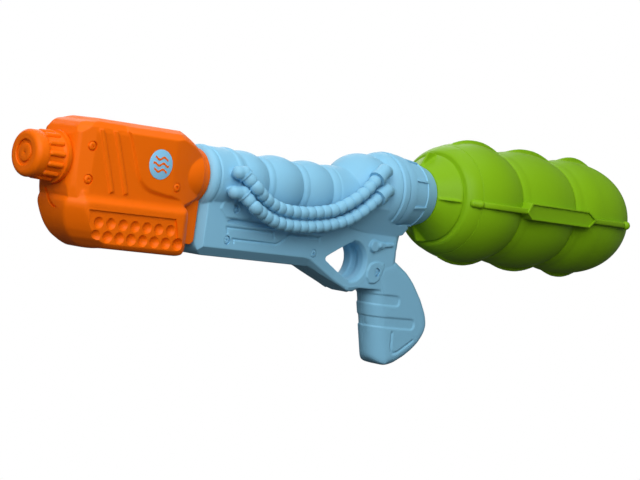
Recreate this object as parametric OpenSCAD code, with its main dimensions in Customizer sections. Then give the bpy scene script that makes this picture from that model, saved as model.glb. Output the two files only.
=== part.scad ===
// Hand-pumped water squirter. X runs from the nozzle's front face back along
// the barrel, Z is up, and the left side of the toy faces -Y. Millimetres.

/* [Barrel and pump] */
// Largest radius of the ribbed barrel
barrel_r = 25.5; // [24:0.5:28]
// Radius in the valleys between the barrel's ribs
barrel_valley_r = 21.8; // [21:0.2:23]
// Travel of the fore-end on the pump
stroke = 110; // [80:1:115]
// Radius of the pump cylinder's bore
cyl_bore_r = 13; // [11:0.5:14]
// Wall of the pump cylinder
cyl_wall = 2.2; // [1.6:0.2:3]
// Outside radius of the hollow piston rod
rod_r = 7; // [6:0.5:7.5]
// Radius of the water way in the rod
rod_bore_r = 3.5; // [2.5:0.5:4.5]

/* [Nozzle] */
// Radius of the nozzle cap behind its rounded front
cap_r = 18; // [16:0.5:19]
// Length of the nozzle cap
cap_len = 30; // [26:1:30]
// Number of grip ribs round the cap
cap_ribs = 13; // [8:1:18]
// Radius of the jet's hole
orifice_r = 0.9; // [0.5:0.1:1.5]

/* [Fore-end] */
// Half the width of the fore-end's upper sides
fore_half_w = 25; // [23:0.5:27]
// How far the rear shoulder stands out from those sides
shoulder_out = 2.2; // [1:0.2:3]
// How far the hand grip stands out from those sides
ledge_out = 4; // [3:0.5:5]
// Height of the fore-end's top above the barrel's axis
fore_top = 33; // [31:0.5:35]
// Depth of the hand grip below the barrel's axis
fore_drop = 64; // [58:1:68]
// Distance between the dimples along the hand grip
dimple_pitch = 12; // [11:0.5:13]

/* [Housing and grip] */
// Half the width of the lower housing
housing_half_w = 18; // [16:0.5:20]
// Half the width at the finger hole and the pistol grip
grip_half_w = 14.5; // [13:0.5:17]
// Radius of the finger hole's round end
finger_r = 16; // [13:0.5:17]
// Wall of the moulded shells
shell_wall = 2.6; // [2:0.2:3.4]

/* [Tank and collar] */
// Height of the tank's axis above the barrel's axis
tank_z = 9.6; // [8:0.2:11]
// Radius at the crest of the tank's lobes
lobe_r = 52.5; // [48:0.5:58]
// Radius in the valleys between the lobes
lobe_valley_r = 47.4; // [42:0.2:48]
// Length of one lobe along the axis
lobe_pitch = 75; // [68:1:80]
// Wall of the blow-moulded tank
tank_wall = 2; // [1.4:0.2:3]
// Radius of the coupling thread between collar and manifold
thread_r = 22; // [20:0.5:23]

/* [Hoses] */
// Outside radius of the hoses' ribs
hose_r = 5.4; // [4.5:0.1:6]
// Distance from rib to rib along the hoses
hose_pitch = 7.6; // [6:0.2:10]

/* [Hidden] */

$fn = 64;
run = 0.05;      // radial clearance of a running fit
free = 0.4;      // gap between curved faces of bodies that move apart
eps = 0.01;
far = 400;       // longer than any cut has to be

orange = "#E86A0A";
blue = "#6FA9CC";
green = "#86B81F";
grey = "#D9D9D6";
black = "#2E3033";
steel = "#B8BCC0";

// Stations along the barrel's axis
cap_x1 = cap_len;                 // rear edge of the cap
fore_x0 = cap_x1 + 0.5;           // front face of the fore-end
fore_x1 = fore_x0 + 136;          // rear rim of the fore-end
fore_rim_r = 22.5;
body_x0 = fore_x1 + 0.5;          // front face of the body
piston_len = 15;
head_x = 330;                     // face of the manifold in the cylinder
piston_x1 = head_x - 4;           // rear face of the piston, pump closed
piston_x0 = piston_x1 - piston_len;
bush_x0 = body_x0 + 3;
bush_x1 = piston_x0 - stroke - 0.5;
drum_x0 = 327;                    // front of the drum round the tank's axis
flange_x0 = 370;                  // the shells' rear flange
flange_x1 = 386;
collar_x0 = flange_x1 + free;
neck_x = 409;                     // front face of the tank's neck
gasket_t = 2;
gasket_x = neck_x - gasket_t - run;
bead_t = 5;                       // bead on the neck, held by the collar
collar_x1 = 428;
shoulder_x = 449;                 // first crease of the tank's shoulder
lobes_x = 455;                    // front end of the first lobe
tank_x1 = lobes_x + 3 * lobe_pitch + 19.5;
bead_r = thread_r + 1.6;
neck_r = thread_r - 1;
neck_bore_r = neck_r - 3;
cyl_r = cyl_bore_r + cyl_wall;

// Sides and heights
panel_w = fore_half_w;
shoulder_w = fore_half_w + shoulder_out;
ledge_w = fore_half_w + ledge_out;
ledge_z = -26;                    // upper edge of the hand grip
skirt_w = 13;                     // the fore-end's tail in front of the body
housing_z = -61.5;                // underside of the lower housing
finger_x = 346;                   // middle of the finger hole's round end
finger_z = -53;
finger_tip = 34;                  // from there to its pointed front
guard_r = finger_r + 10;
badge_r = 11.6;
badge_x = 110;
badge_z = 5;
badge_t = 1.4;

// Screws: x, z of each, in the fore-end and in the body
fore_screws = [[44, 11.5], [44, -13.5], [130, -11]];
housing_screws = [[201.5, -21.5], [197, -47], [296, -50]];
grip_screw = [376, -60];
screw_head_r = 3.1;
screw_head_t = 2.2;
screw_r = 1.4;
boss_r = 3.9;

// ---- shapes made from outlines

// Turned about the barrel's axis; the profile's points are x, r.
module turned(profile, z = 0) {
    translate([0, 0, z]) rotate([0, 90, 0]) rotate_extrude()
        polygon([for (p = profile) [p[1], p[0]]]);
}

// A plain round bar along X.
module bar(x0, x1, r, z = 0) {
    translate([x0, 0, z]) rotate([0, 90, 0]) cylinder(r = r, h = x1 - x0);
}

// A side outline of x, z points, as wide as y0 to y1.
module side(points, y0, y1) {
    translate([0, y1, 0]) rotate([90, 0, 0]) linear_extrude(y1 - y0) polygon(points);
}

// A plan outline of x, y points, as high as z0 to z1.
module plan(points, z0 = -far, z1 = far) {
    translate([0, 0, z0]) linear_extrude(z1 - z0) polygon(points);
}

// A cross-section of y, z points, as long as x0 to x1.
module section(points, x0, x1) {
    translate([x0, 0, 0]) rotate([90, 0, 90]) linear_extrude(x1 - x0) polygon(points);
}

// A round bar along Y.
module pin(x, z, r, y0, y1) {
    translate([x, y1, z]) rotate([90, 0, 0]) cylinder(r = r, h = y1 - y0);
}

module left_half() { intersection() { children(); cut_box(-far, 0); } }
module cut_box(y0, y1) { translate([-far, y0, -far]) cube([3 * far, y1 - y0, 2 * far]); }

// Points of a shallow arc from a to b that swells by h.
function arc(a, b, h, n = 6) = let (d = b - a, s = [-d[1], d[0]] / norm(d))
    [for (i = [0:n]) let (t = i / n) a + d * t + s * 4 * h * t * (1 - t)];

// Points of a round corner: centre, radius, first and last angle.
function corner(c, r, a0, a1, n = 5) =
    [for (i = [0:n]) let (a = a0 + (a1 - a0) * i / n) c + r * [cos(a), sin(a)]];

function mirrored(points) = concat(points,
    [for (i = [len(points) - 1:-1:0]) [points[i][0], -points[i][1]]]);
function mirrored_y(points) = concat(points,
    [for (i = [len(points) - 1:-1:0]) [-points[i][0], points[i][1]]]);

// ---- nozzle

cap_thread_r = 14;
insert_r = 9.7;
insert_flange_x = 3;
insert_x1 = 5.5;
seal_t = 2.5;
nose_x0 = insert_x1 + seal_t;

module nozzle_cap() {
    flange_r = cap_r + 2.3;
    grip_x0 = cap_x1 - 20;
    grip_x1 = cap_x1 - 6;
    color(orange) difference() {
        union() {
            turned(concat([[0, 0]], [[0, cap_r - 4.5]],
                corner([5, cap_r - 5.2], 5, 170, 95, 4),
                [[cap_x1 - 5, cap_r + 0.6], [cap_x1 - 3.5, flange_r],
                 [cap_x1 - 0.8, flange_r], [cap_x1, flange_r - 0.8], [cap_x1, 0]]));
            for (i = [0:cap_ribs - 1]) rotate([i * 360 / cap_ribs, 0, 0])
                side([[grip_x0, cap_r - 2], [grip_x0, cap_r - 0.3], [grip_x0 + 3, cap_r + 1.5],
                    [grip_x1, cap_r + 1.7], [grip_x1, cap_r - 2]], -1.9, 1.9);
        }
        bar(-1, insert_flange_x, insert_r + 0.1);
        bar(insert_flange_x, nose_x0, cap_thread_r - 1.5);
        bar(nose_x0 - eps, cap_x1 + 1, cap_thread_r);
    }
}

module nozzle_insert() {
    color(orange) difference() {
        union() {
            bar(0, insert_x1, insert_r);
            bar(insert_flange_x, insert_x1, cap_thread_r - 2);
        }
        turned([[-0.1, 7.8], [0.5, 7.8], [0.5, 8.4], [-0.1, 8.4]]);
        bar(-1, far, orifice_r);
        turned([[2, 0], [2, orifice_r], [insert_x1 + 0.1, rod_bore_r], [insert_x1 + 0.1, 0]]);
    }
}

module nozzle_seal() {
    color(black) difference() {
        bar(insert_x1, nose_x0, cap_thread_r - 2);
        bar(insert_x1 - 1, nose_x0 + 1, rod_bore_r + 0.5);
    }
}

// ---- fore-end

fore_wall_x = fore_x0 + 3;        // back of the fore-end's front wall
nose_neck_r = 10;
nose_flange_t = 4;
nose_x1 = fore_wall_x + nose_flange_t;

// Outline of the upper part from the side; its rear end is left square.
function fore_upper_side() = concat(
    [[fore_x0, ledge_z - 4], [fore_x0, fore_top - 15], [fore_x0 + 2.5, fore_top - 8.5],
     [fore_x0 + 6, fore_top - 4.6], [fore_x0 + 10, fore_top - 3.4],
     [fore_x0 + 15, fore_top - 3], [fore_x0 + 18, fore_top - 0.6]],
    [[fore_x0 + 21, fore_top]],
    [[fore_x1, fore_top], [fore_x1, ledge_z - 4]]);

function fore_lower_side() = concat(
    [[fore_x0, ledge_z + 5]],
    arc([fore_x0, ledge_z - 4], [fore_x0 + 27, -fore_drop - 1.2], -7.5, 7),
    [[fore_x0 + 33, -fore_drop - 1.2], [fore_x0 + 37, -fore_drop]],
    [[fore_x0 + 104, -fore_drop]],
    corner([fore_x0 + 110, -fore_drop + 16.8], 18, -95, -20, 6),
    [[fore_x0 + 130, ledge_z + 5]]);

// Half of a plan with round front corners, wider and wider to the back.
function fore_plan(w, r, x1, taper_x, w1) = concat(
    [[fore_x0, 0]], corner([fore_x0 + r, w - r], r, 180, 90, 6),
    [[taper_x, w]], arc([taper_x, w], [x1, w1], (w - w1) / 8, 5), [[x1, 0]]);

// The front corners' outline, seen square to their diagonal.
function fore_corner() = [[9, -far], [9, fore_top - 12], [9.6, fore_top - 11], [11.4, fore_top - 8.8],
    [12.8, fore_top - 6.3], [15.5, fore_top - 3.7], [28, fore_top + 0.3], [40, far],
    [far, far], [far, -far]];
function chin_corner() = [[9, far], [9.3, -29], [9.8, -35], [12, -41], [14.4, -46.5], [17.4, -52],
    [22, -57.7], [29.4, -62.8], [36, -66], [40, -far], [far, -far], [far, far]];

module fore_upper() {
    intersection() {
        side(fore_upper_side(), -far, far);
        plan(mirrored(fore_plan(shoulder_w, 15, fore_x1, fore_x0 + 98, fore_rim_r)));
        rotate([0, 0, 45]) side(fore_corner(), -far, far);
        rotate([0, 0, -45]) side(fore_corner(), -far, far);
        section(mirrored_y([[shoulder_w, ledge_z - 4], [shoulder_w, fore_top - 8],
            [shoulder_w - 5, fore_top - 3], [shoulder_w - 12, fore_top]]), 0, far);
        turned(concat([[0, 60], [fore_x0 + 80, 60]],
            arc([fore_x0 + 86, 40], [fore_x1 - 8, fore_rim_r + 2.6], 0.6, 6),
            [[fore_x1 - 7.6, fore_rim_r + 2], [fore_x1 - 5, fore_rim_r + 1.6],
             [fore_x1 - 4.6, fore_rim_r + 1], [fore_x1, fore_rim_r], [fore_x1, 0], [0, 0]]));
    }
}

// The sides ahead of the slanted shoulder and under it are cut back.
module fore_panel_cut() {
    z0 = ledge_z - 1;
    foot = -19;
    for (m = [0, 1]) mirror([0, m, 0]) difference() {
        side(concat([[fore_x0 - 1, z0], [fore_x0 - 1, fore_top - 8]],
            [[fore_x0 + 42, fore_top - 7], [fore_x0 + 54, -4]],
            arc([fore_x0 + 56, -8], [fore_x0 + 72, foot], 2, 4),
            [[fore_x0 + 82, foot - 2.5], [fore_x1 - 30, foot - 3.5], [fore_x1 - 30, z0]]),
            -far, -panel_w);
        // two slanted ribs are left standing
        for (x = [fore_x0 + 15.4, fore_x0 + 29.6])
            side([[x, fore_top], [x + 2.3, fore_top], [x + 26.3, z0 - 1], [x + 24, z0 - 1]],
                -panel_w - 1, 0);
    }
}

module fore_lower() {
    b = 11;
    intersection() {
        side(fore_lower_side(), -far, far);
        plan(mirrored(fore_plan(ledge_w, 25, fore_x0 + 130, fore_x0 + 108, skirt_w)));
        rotate([0, 0, 45]) side(chin_corner(), -far, far);
        rotate([0, 0, -45]) side(chin_corner(), -far, far);
        section(mirrored_y(concat([[panel_w, ledge_z + 5], [panel_w, ledge_z],
            [ledge_w, ledge_z - ledge_out]],
            corner([ledge_w - b, -fore_drop + b - 1.6], b, 0, -80, 5),
            [[0, -fore_drop - 1.6]])), 0, far);
    }
}

module fore_dimples() {
    w = ledge_w + 1.5;
    for (row = [[7, -44, 25.2], [8, -54.4, 21.5]], i = [0:row[0] - 1], m = [-1, 1])
        translate([fore_x0 + row[2] + i * dimple_pitch, m * w, row[1]])
            rotate([m * 12, 0, 0]) sphere(r = 4.6);
}

module fore_skirt() {
    z1 = -54;
    side([[fore_x0 + 118, -15], [fore_x1, -15], [fore_x1, z1 + 3], [fore_x1 - 3, z1],
        [fore_x0 + 118, z1]], -skirt_w, skirt_w);
}

module fore_cavity() {
    w = shell_wall;
    x0 = fore_wall_x + nose_flange_t;
    side([[x0, ledge_z], [x0, fore_top - 18], [fore_x0 + 20, fore_top - w - 1],
        [fore_x0 + 106, fore_top - w - 1], [fore_x1 - 14, 17], [fore_x1 - 14, ledge_z]],
        -(panel_w - 4.5), panel_w - 4.5);
    side([[fore_x0 + 14, ledge_z + 1], [fore_x0 + 24, -fore_drop + 14],
        [fore_x0 + 36, -fore_drop + w + 3], [fore_x0 + 112, -fore_drop + w + 3],
        [fore_x0 + 112, ledge_z + 1]], -(ledge_w - 9), ledge_w - 9);
}

module fore_screw_holes(left) {
    for (s = fore_screws) {
        y = left ? -far : 0;
        pin(s[0], s[1], left ? screw_r + 0.3 : screw_r, y, left ? 1 : 14);
        if (left) pin(s[0], s[1], screw_head_r + 0.4, -far, -(panel_w - 2.2));
    }
}

module fore_half() {
    left_half() difference() {
        union() {
            difference() {
                union() { fore_upper(); fore_lower(); fore_skirt(); }
                fore_panel_cut();
                fore_dimples();
                fore_cavity();
            }
            // walls that carry the rod, and the screw bosses
            for (x = [fore_x0 + 62, fore_x0 + 98]) translate([x, -panel_w + 4, -20])
                cube([2.4, 2 * panel_w - 8, 40]);
            for (s = fore_screws) pin(s[0], s[1], boss_r - 0.4, -(panel_w - 2), panel_w - 2);
        }
        bar(0, fore_wall_x + 1, nose_neck_r);
        bar(fore_wall_x, nose_x1, cap_thread_r);
        bar(nose_x1 - 1, fore_x1 + 1, rod_r + free);
    }
}

module foreend_left_shell() {
    color(orange) difference() {
        fore_half();
        fore_screw_holes(true);
        pin(badge_x, badge_z, badge_r, -far, -shoulder_w + badge_t);
    }
}

module foreend_right_shell() {
    color(orange) difference() {
        mirror([0, 1, 0]) fore_half();
        fore_screw_holes(false);
    }
}

module badge() {
    color("#7CC0E8") pin(badge_x, badge_z, badge_r, -shoulder_w - 0.3, -shoulder_w + badge_t);
}

// A screw driven in from the left: head seat at y.
module screw(x, z, y, length) {
    difference() {
        union() {
            pin(x, z, screw_head_r, y - screw_head_t, y);
            pin(x, z, screw_r, y - eps, y + length);
        }
        for (a = [0, 90]) translate([x, y - screw_head_t - 0.1, z]) rotate([0, a, 0])
            translate([-2, 0, -0.4]) cube([4, 1.2, 0.8]);
    }
}

module foreend_screws() {
    color(steel) for (s = fore_screws) screw(s[0], s[1], -(panel_w - 2.2), panel_w + 10);
}

module rod_nose() {
    color(orange) difference() {
        union() {
            bar(nose_x0 + run, fore_x0, cap_thread_r - run);
            bar(fore_x0 - eps, fore_wall_x + eps, nose_neck_r);
            bar(fore_wall_x, nose_x1, cap_thread_r);
        }
        bar(0, far, rod_bore_r);
        rod_shape(nose_x0 + 8, far);
    }
}

// The rod has two flats, so that the fore-end can't turn on the body.
rod_flat = rod_r - 1;
module rod_shape(x0, x1, extra = 0) {
    intersection() {
        bar(x0, x1, rod_r + extra);
        cut_box(-rod_flat - extra, rod_flat + extra);
    }
}

module piston_rod() {
    color(grey) difference() {
        rod_shape(nose_x0 + 8, piston_x0 + 5);
        bar(0, far, rod_bore_r);
    }
}

// ---- pump

module piston_head() {
    color(black) difference() {
        bar(piston_x0, piston_x1, cyl_bore_r - run);
        rod_shape(piston_x0 - 1, piston_x0 + 5);
        bar(0, far, rod_bore_r + 1.2);
        turned([[piston_x0 + 8, cyl_bore_r - 2.4], [piston_x0 + 12, cyl_bore_r - 2.4],
            [piston_x0 + 12, cyl_bore_r + 1], [piston_x0 + 8, cyl_bore_r + 1]]);
        turned([[piston_x1 - 2, 0], [piston_x1 - 2, rod_r], [piston_x1 + 1, rod_r],
            [piston_x1 + 1, 0]]);
    }
}

module piston_seal() {
    color("#7A3B2E") difference() {
        bar(piston_x0 + 8, piston_x0 + 12, cyl_bore_r - run);
        bar(0, far, cyl_bore_r - 2.4);
    }
}

// A rubber duckbill: its flange seats in the piston's rear face.
module outlet_valve() {
    color(black) difference() {
        union() {
            bar(piston_x1 - 2, piston_x1, rod_r);
            bar(piston_x1 - 5, piston_x1 - 2, rod_bore_r + 1.2);
            intersection() {
                bar(piston_x1 - 9.5, piston_x1 - 5, rod_bore_r + 1.2);
                side([[piston_x1 - 9.5, -0.6], [piston_x1 - 5 + eps, -4],
                    [piston_x1 - 5 + eps, 4], [piston_x1 - 9.5, 0.6]], -far, far);
            }
        }
        bar(piston_x1 - 5, piston_x1 + 1, rod_bore_r);
    }
}

module rod_bush() {
    color(grey) difference() {
        union() {
            bar(bush_x0, bush_x0 + 4, cyl_r + 2);
            bar(bush_x0 + 4 - eps, bush_x1, cyl_bore_r);
        }
        rod_shape(0, far, run);
    }
}

module pump_cylinder() {
    color(grey) difference() {
        bar(bush_x0 + 4, head_x, cyl_r);
        bar(0, far, cyl_bore_r);
    }
}

module bumper_ring() {
    color(black) difference() {
        bar(head_x - 3, head_x, cyl_bore_r - 0.2);
        bar(0, far, cyl_bore_r - 3);
    }
}

module inlet_manifold() {
    x1 = gasket_x;
    color(grey) difference() {
        union() {
            bar(head_x, head_x + 8, cyl_r);
            bar(head_x + 8 - eps, flange_x0, cyl_r + 2, 4);
            bar(flange_x0 - 4, flange_x1 - 4, thread_r + 2, tank_z);
            bar(flange_x1 - 4 - eps, x1, thread_r - run, tank_z);
            bar(x1 - eps, tube_x0 + 12, tube_bore_r, tank_z);
        }
        // ports under the flap, then one way back to the tank's axis
        for (a = [0:60:300]) rotate([a, 0, 0]) translate([head_x - 1, 0, 5])
            rotate([0, 90, 0]) cylinder(r = 1.6, h = 12);
        bar(head_x + 6, head_x + 14, 8);
        bar(head_x + 12, flange_x0, 5, tank_z - 4);
        bar(flange_x0 - 6, far * 2, tube_bore_r - 1.2, tank_z);
        bar(head_x - 1, head_x + 7, 1.6);
    }
}

module inlet_flap() {
    color(black) difference() {
        bar(head_x - 1.2, head_x, 8.5);
        bar(0, far, 1.6);
    }
}

module inlet_stud() {
    color(grey) union() {
        bar(head_x - 2.8, head_x - 1.2, 3);
        bar(head_x - 1.2 - eps, head_x + 5, 1.6);
    }
}

// ---- body

// The ribbed barrel's outline, as x, r points.
rib_x = [206, 232, 271, 305, drum_x0 + 8];
function barrel_profile() = concat(
    [[body_x0, 0], [body_x0, barrel_r - 3], [body_x0 + 2, barrel_r - 0.8],
     [body_x0 + 5, barrel_r + 0.5], [body_x0 + 8, barrel_r + 0.4],
     [body_x0 + 9, barrel_r - 0.9], [body_x0 + 10, barrel_r - 0.9],
     [body_x0 + 11, barrel_r - 0.2], [rib_x[0] - 10, barrel_r - 0.2],
     [rib_x[0] - 9, barrel_r + 0.6], [rib_x[0] - 5, barrel_r + 0.4],
     [rib_x[0] - 4, barrel_r - 0.7], [rib_x[0], barrel_r - 1.4]],
    arc([rib_x[0], barrel_r - 1.4], [rib_x[1], barrel_valley_r], 2.6, 5),
    arc([rib_x[1], barrel_valley_r], [rib_x[2], barrel_valley_r], barrel_r - barrel_valley_r, 8),
    arc([rib_x[2], barrel_valley_r], [rib_x[3], barrel_valley_r + 1.6],
        barrel_r - barrel_valley_r - 1, 6),
    [[rib_x[3] + 6, barrel_r - 0.6], [rib_x[4], barrel_r - 0.6], [rib_x[4], 0]]);

// The drum and flange behind it, about the tank's axis.
function drum_profile() = concat(
    [[drum_x0, 0], [drum_x0, 15]],
    arc([drum_x0, 15], [flange_x0 - 4, 27.5], 6.5, 7),
    arc([flange_x0 - 4, 28.5], [flange_x0 + 8, 33.4], 1.2, 4),
    [[flange_x1, 33.4], [flange_x1, 0]]);

// Underside of the housing and guard, then the pistol grip, from the side.
function frame_side() = concat(
    [[body_x0 + 1, -10], [body_x0 + 1, housing_z + 10]],
    corner([body_x0 + 11, housing_z + 10], 10, 190, 265, 4),
    [[297, housing_z], [304, housing_z - 2.2], [311, housing_z - 5]],
    [[345, housing_z - 16.6], [350, housing_z - 18.4], [357, housing_z - 17.8]],
    [[366, -77], [372, -73], [404, -54], [401.5, -49], [400.3, -41],
     [401.5, -32], [404, -25], [404, -10]]);

function frame_plan() = [[body_x0 + 1, 0], [body_x0 + 1, housing_half_w - 6],
    [body_x0 + 5.5, housing_half_w], [285, housing_half_w], [326, grip_half_w],
    [460, grip_half_w], [460, 0]];

// Round in front along the grip's lean, flat on the sides.
module grip_form() {
    w = grip_half_w + 0.5;
    grip = [[360, -60], [368, -76], [381, -89.5], [392, -128], [398, -137.3], [407.5, -140.5],
        [417, -137.4], [428, -131], [436, -125.5], [443.5, -119], [450.5, -110], [452, -101.5],
        [448.5, -92], [440, -81], [429.5, -70], [418, -60.7], [404, -50]];
    difference() {
        intersection() {
            side(grip, -far, far);
            translate([380.3, 0, -89.5]) rotate([0, -17.8, 0]) translate([0, 0, -60]) linear_extrude(140) {
                translate([w, 0]) circle(r = w);
                translate([w, -w]) square([80, 2 * w]);
            }
        }
        for (i = [4:15]) bevels(grip[i], grip[i + 1], w, 4.5);
    }
}

// Bevels of size c along the edge from p to q, x and z, on both sides w.
module bevels(p, q, w, c) {
    l = norm(q - p) + 2;
    for (m = [-1, 1]) translate([p[0], m * w, p[1]]) rotate([0, -atan2(q[1] - p[1], q[0] - p[0]), 0])
        rotate([45, 0, 0]) translate([-1, -c / sqrt(2), -c / sqrt(2)])
            cube([l, c * sqrt(2), c * sqrt(2)]);
}

module finger_hole() {
    a = asin(finger_r / finger_tip);
    r = 3.5;
    tip = finger_tip - r / sin(a) + r;
    pin(finger_x, finger_z, finger_r, -far, far);
    pin(finger_x - finger_tip + r / sin(a), finger_z, r, -far, far);
    side([for (p = [[-finger_r * sin(a), finger_r * cos(a)],
        [-finger_tip + r / sin(a) - r * sin(a), r * cos(a)],
        [-finger_tip + r / sin(a) - r * sin(a), -r * cos(a)],
        [-finger_r * sin(a), -finger_r * cos(a)]]) p + [finger_x, finger_z]], -far, far);
}

module frame_solid() {
    bevel = 7;
    difference() {
        union() {
            // housing, with its lower edges bevelled
            intersection() {
                side(frame_side(), -far, far);
                plan(mirrored(frame_plan()));
                section(mirrored_y([[housing_half_w, 0], [housing_half_w, housing_z + 8],
                    [housing_half_w - bevel, housing_z], [0, housing_z]]), 0, 305);
            }
            // guard: bevelled along its slope
            intersection() {
                side(frame_side(), -far, far);
                plan(mirrored(frame_plan()));
                translate([311, 0, housing_z - 5]) rotate([0, 20.9, 0])
                    section(mirrored_y([[housing_half_w, 60], [housing_half_w, 5],
                        [housing_half_w - 6, 0], [0, -2]]), -20, 90);
                translate([280, -far, -far]) cube([finger_x + 27 - 280, 2 * far, far]);
            }
            grip_form();
            // neck between guard and drum
            intersection() {
                side([[325, -10], [325, -40], [finger_x, -75], [404, -75], [404, -54], [401.5, -49],
                    [400.3, -41], [401.5, -32], [404, -25], [404, 0]], -far, far);
                plan(mirrored([[320, 0], [320, grip_half_w], [396, grip_half_w],
                    [405, grip_half_w - 5], [405, 0]]));
            }
            // knob with its bar, and the pad round the grip's screw, on both sides
            for (m = [0, 1]) mirror([0, m, 0]) {
                pin(369, -38, 4.8, -grip_half_w - 2.2, -grip_half_w + 2);
                pin(373.6, -36.8, 2.8, -grip_half_w - 3, -grip_half_w + 2);
                side([[372, -33.6], [382, -35], [392, -34.3], [392, -36.3], [382, -38],
                    [374, -42]], -grip_half_w - 1.6, -grip_half_w + 2);
                side([[365, -58], [367.5, -54], [372, -52.4], [390, -52.6], [384, -60.5],
                    [377.5, -66], [372, -73.5], [368.5, -69]], -grip_half_w - 1, -grip_half_w + 2);
            }
            // raised ring round the finger hole
            intersection() {
                pin(finger_x, finger_z, guard_r, -grip_half_w - 1.2, grip_half_w + 1.2);
                translate([finger_x - 8, -far, -far]) cube([52, 2 * far, 2 * far]);
                translate([311, 0, housing_z - 5]) rotate([0, 20.9, 0])
                    section(mirrored_y([[housing_half_w, 60], [housing_half_w, 5],
                        [housing_half_w - 6, 0], [0, -2]]), -20, 90);
            }
            // cheeks that slope from the drum down to the neck
            intersection() {
                side([[332, 6], [336, -25], [386, -30], [402, -26], [404, -19], [386, -8],
                    [386, 6]], -far, far);
                section(mirrored_y([[26, 6], [26, -6], [grip_half_w, -28], [grip_half_w, -31]]),
                    300, far * 2);
            }
        }
        finger_hole();
        // concave rest for the finger in the hole's rear wall
        intersection() {
            pin(finger_x, finger_z, finger_r + 2.6, -5.5, 5.5);
            translate([finger_x, -far, -far]) cube([far, 2 * far, 2 * far]);
        }
    }
}

module body_grooves() {
    y = -housing_half_w;
    // long slot
    side([[193, -33.2], [197, -30.2], [328, -32], [328, -33.8], [232, -34]], -far, y + 2);
    // panel lines under it
    for (g = [[[196, -37], [248, -37]], [[203, -45.8], [247, -46.2]], [[266, -37], [302.5, -37.2]]])
        side([g[0], g[1], g[1] + [0, -1], g[0] + [0, -1]], -far, y + 0.8);
    side([[246, -46], [246, -47], [254.6, -45.5], [267, -38], [266, -36.6], [254, -44.4]],
        -far, y + 0.8);
}

module grip_bands() {
    y = -grip_half_w;
    for (b = [[-80.5, 384, 411], [-98.5, 395, 434]]) {
        side([[360, b[0]], [b[2] - 3, b[0]], [b[2], b[0] - 2.5], [b[2], b[0] - 8],
            [b[2] - 2, b[0] - 10.5], [360, b[0] - 10.5], [360, b[0] - 9.3],
            [b[2] - 2.6, b[0] - 9.3], [b[2] - 1.2, b[0] - 7.6], [b[2] - 1.2, b[0] - 3.2],
            [b[2] - 3.4, b[0] - 1.2], [360, b[0] - 1.2]], -far, y + 0.8);
    }
}

module body_cavity() {
    w = shell_wall;
    bar(body_x0 + 3, drum_x0 + 6, barrel_valley_r - w);
    bar(drum_x0 + 10, flange_x0 - 2, 24, tank_z);
    side([[body_x0 + 4, -12], [body_x0 + 4, housing_z + 10], [body_x0 + 10, housing_z + w],
        [286, housing_z + w], [302, housing_z + 3], [302, -40], [318, -30], [318, -12]],
        -(housing_half_w - 5), housing_half_w - 5);
    side([[392, -70], [390, -82], [400, -104], [403, -126], [412, -133], [434, -120],
        [440, -103], [420, -72]], -(grip_half_w - 4), grip_half_w - 4);
}

module body_half() {
    left_half() difference() {
        union() {
            difference() {
                union() {
                    turned(barrel_profile());
                    turned(drum_profile(), tank_z);
                    frame_solid();
                }
                for (m = [0, 1]) mirror([0, m, 0]) { body_grooves(); grip_bands(); }
                body_cavity();
            }
            for (s = housing_screws)
                pin(s[0], s[1], boss_r, -(housing_half_w - 2), housing_half_w - 2);
            pin(grip_screw[0], grip_screw[1], boss_r, -grip_half_w + 1, grip_half_w - 1);
            // rib that carries the cylinder
            bar(258, 261, barrel_valley_r - 1);
        }
        // seats of the pump
        bar(0, far * 2, rod_r + free);
        bar(bush_x0, bush_x0 + 4, cyl_r + 2);
        bar(bush_x0 + 4 - eps, head_x + 8, cyl_r);
        bar(head_x, flange_x0, cyl_r + 2, 4);
        bar(flange_x0 - 4, flange_x1 - 4, thread_r + 2, tank_z);
        bar(flange_x1 - 5, far * 2, thread_r + free, tank_z);
        turned([[flange_x1, 0], [flange_x1, 33.6], [398, 33], [415, 30.5], [430, 27], [430, 0]], tank_z);
    }
}

module body_screw_holes(left) {
    for (s = housing_screws) {
        pin(s[0], s[1], left ? screw_r + 0.3 : screw_r, left ? -far : 0, left ? 1 : 12);
        if (left) pin(s[0], s[1], screw_head_r + 0.4, -far, -(housing_half_w - 2.8));
    }
    pin(grip_screw[0], grip_screw[1], left ? screw_r + 0.3 : screw_r, left ? -far : 0, left ? 1 : 10);
    if (left) pin(grip_screw[0], grip_screw[1], screw_head_r + 0.4, -far, -(grip_half_w - 2));
}

module body_left_shell() {
    color(blue) difference() {
        union() {
            body_half();
            hose_sockets();
        }
        body_screw_holes(true);
    }
}

module body_right_shell() {
    color(blue) difference() {
        mirror([0, 1, 0]) body_half();
        body_screw_holes(false);
    }
}

module body_screws() {
    color(steel) {
        for (s = housing_screws) screw(s[0], s[1], -(housing_half_w - 2.8), housing_half_w + 8);
        screw(grip_screw[0], grip_screw[1], -(grip_half_w - 2), grip_half_w + 6);
    }
}

// ---- hoses

// Each hose leaves the front socket straight back and ends in its rear socket.
socket_r = hose_r + 1.3;
upper_route = [[196.2, -30.8, 5.6], [203.2, -35, -1.2], [213, -34, -7.6], [228, -32.3, -14.3],
    [244, -31.5, -17.4], [262, -31.5, -17.7], [280, -31.5, -15.8], [298, -31.7, -12],
    [314, -32.5, -4.7], [328, -33.7, 4.8], [335.5, -33.5, 11.7], [343.5, -32, 18.3]];
lower_route = [[197.7, -30.7, -10.2], [204.3, -35.4, -17], [214, -34, -21.5], [228, -32.5, -26.4],
    [244, -31.8, -28.9], [262, -31.5, -29], [280, -31.5, -27.4], [298, -31.7, -24],
    [315, -32.5, -18.5], [330, -33.8, -9.5], [337.8, -34.9, -2.8], [346.3, -33.7, 3.2]];

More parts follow.
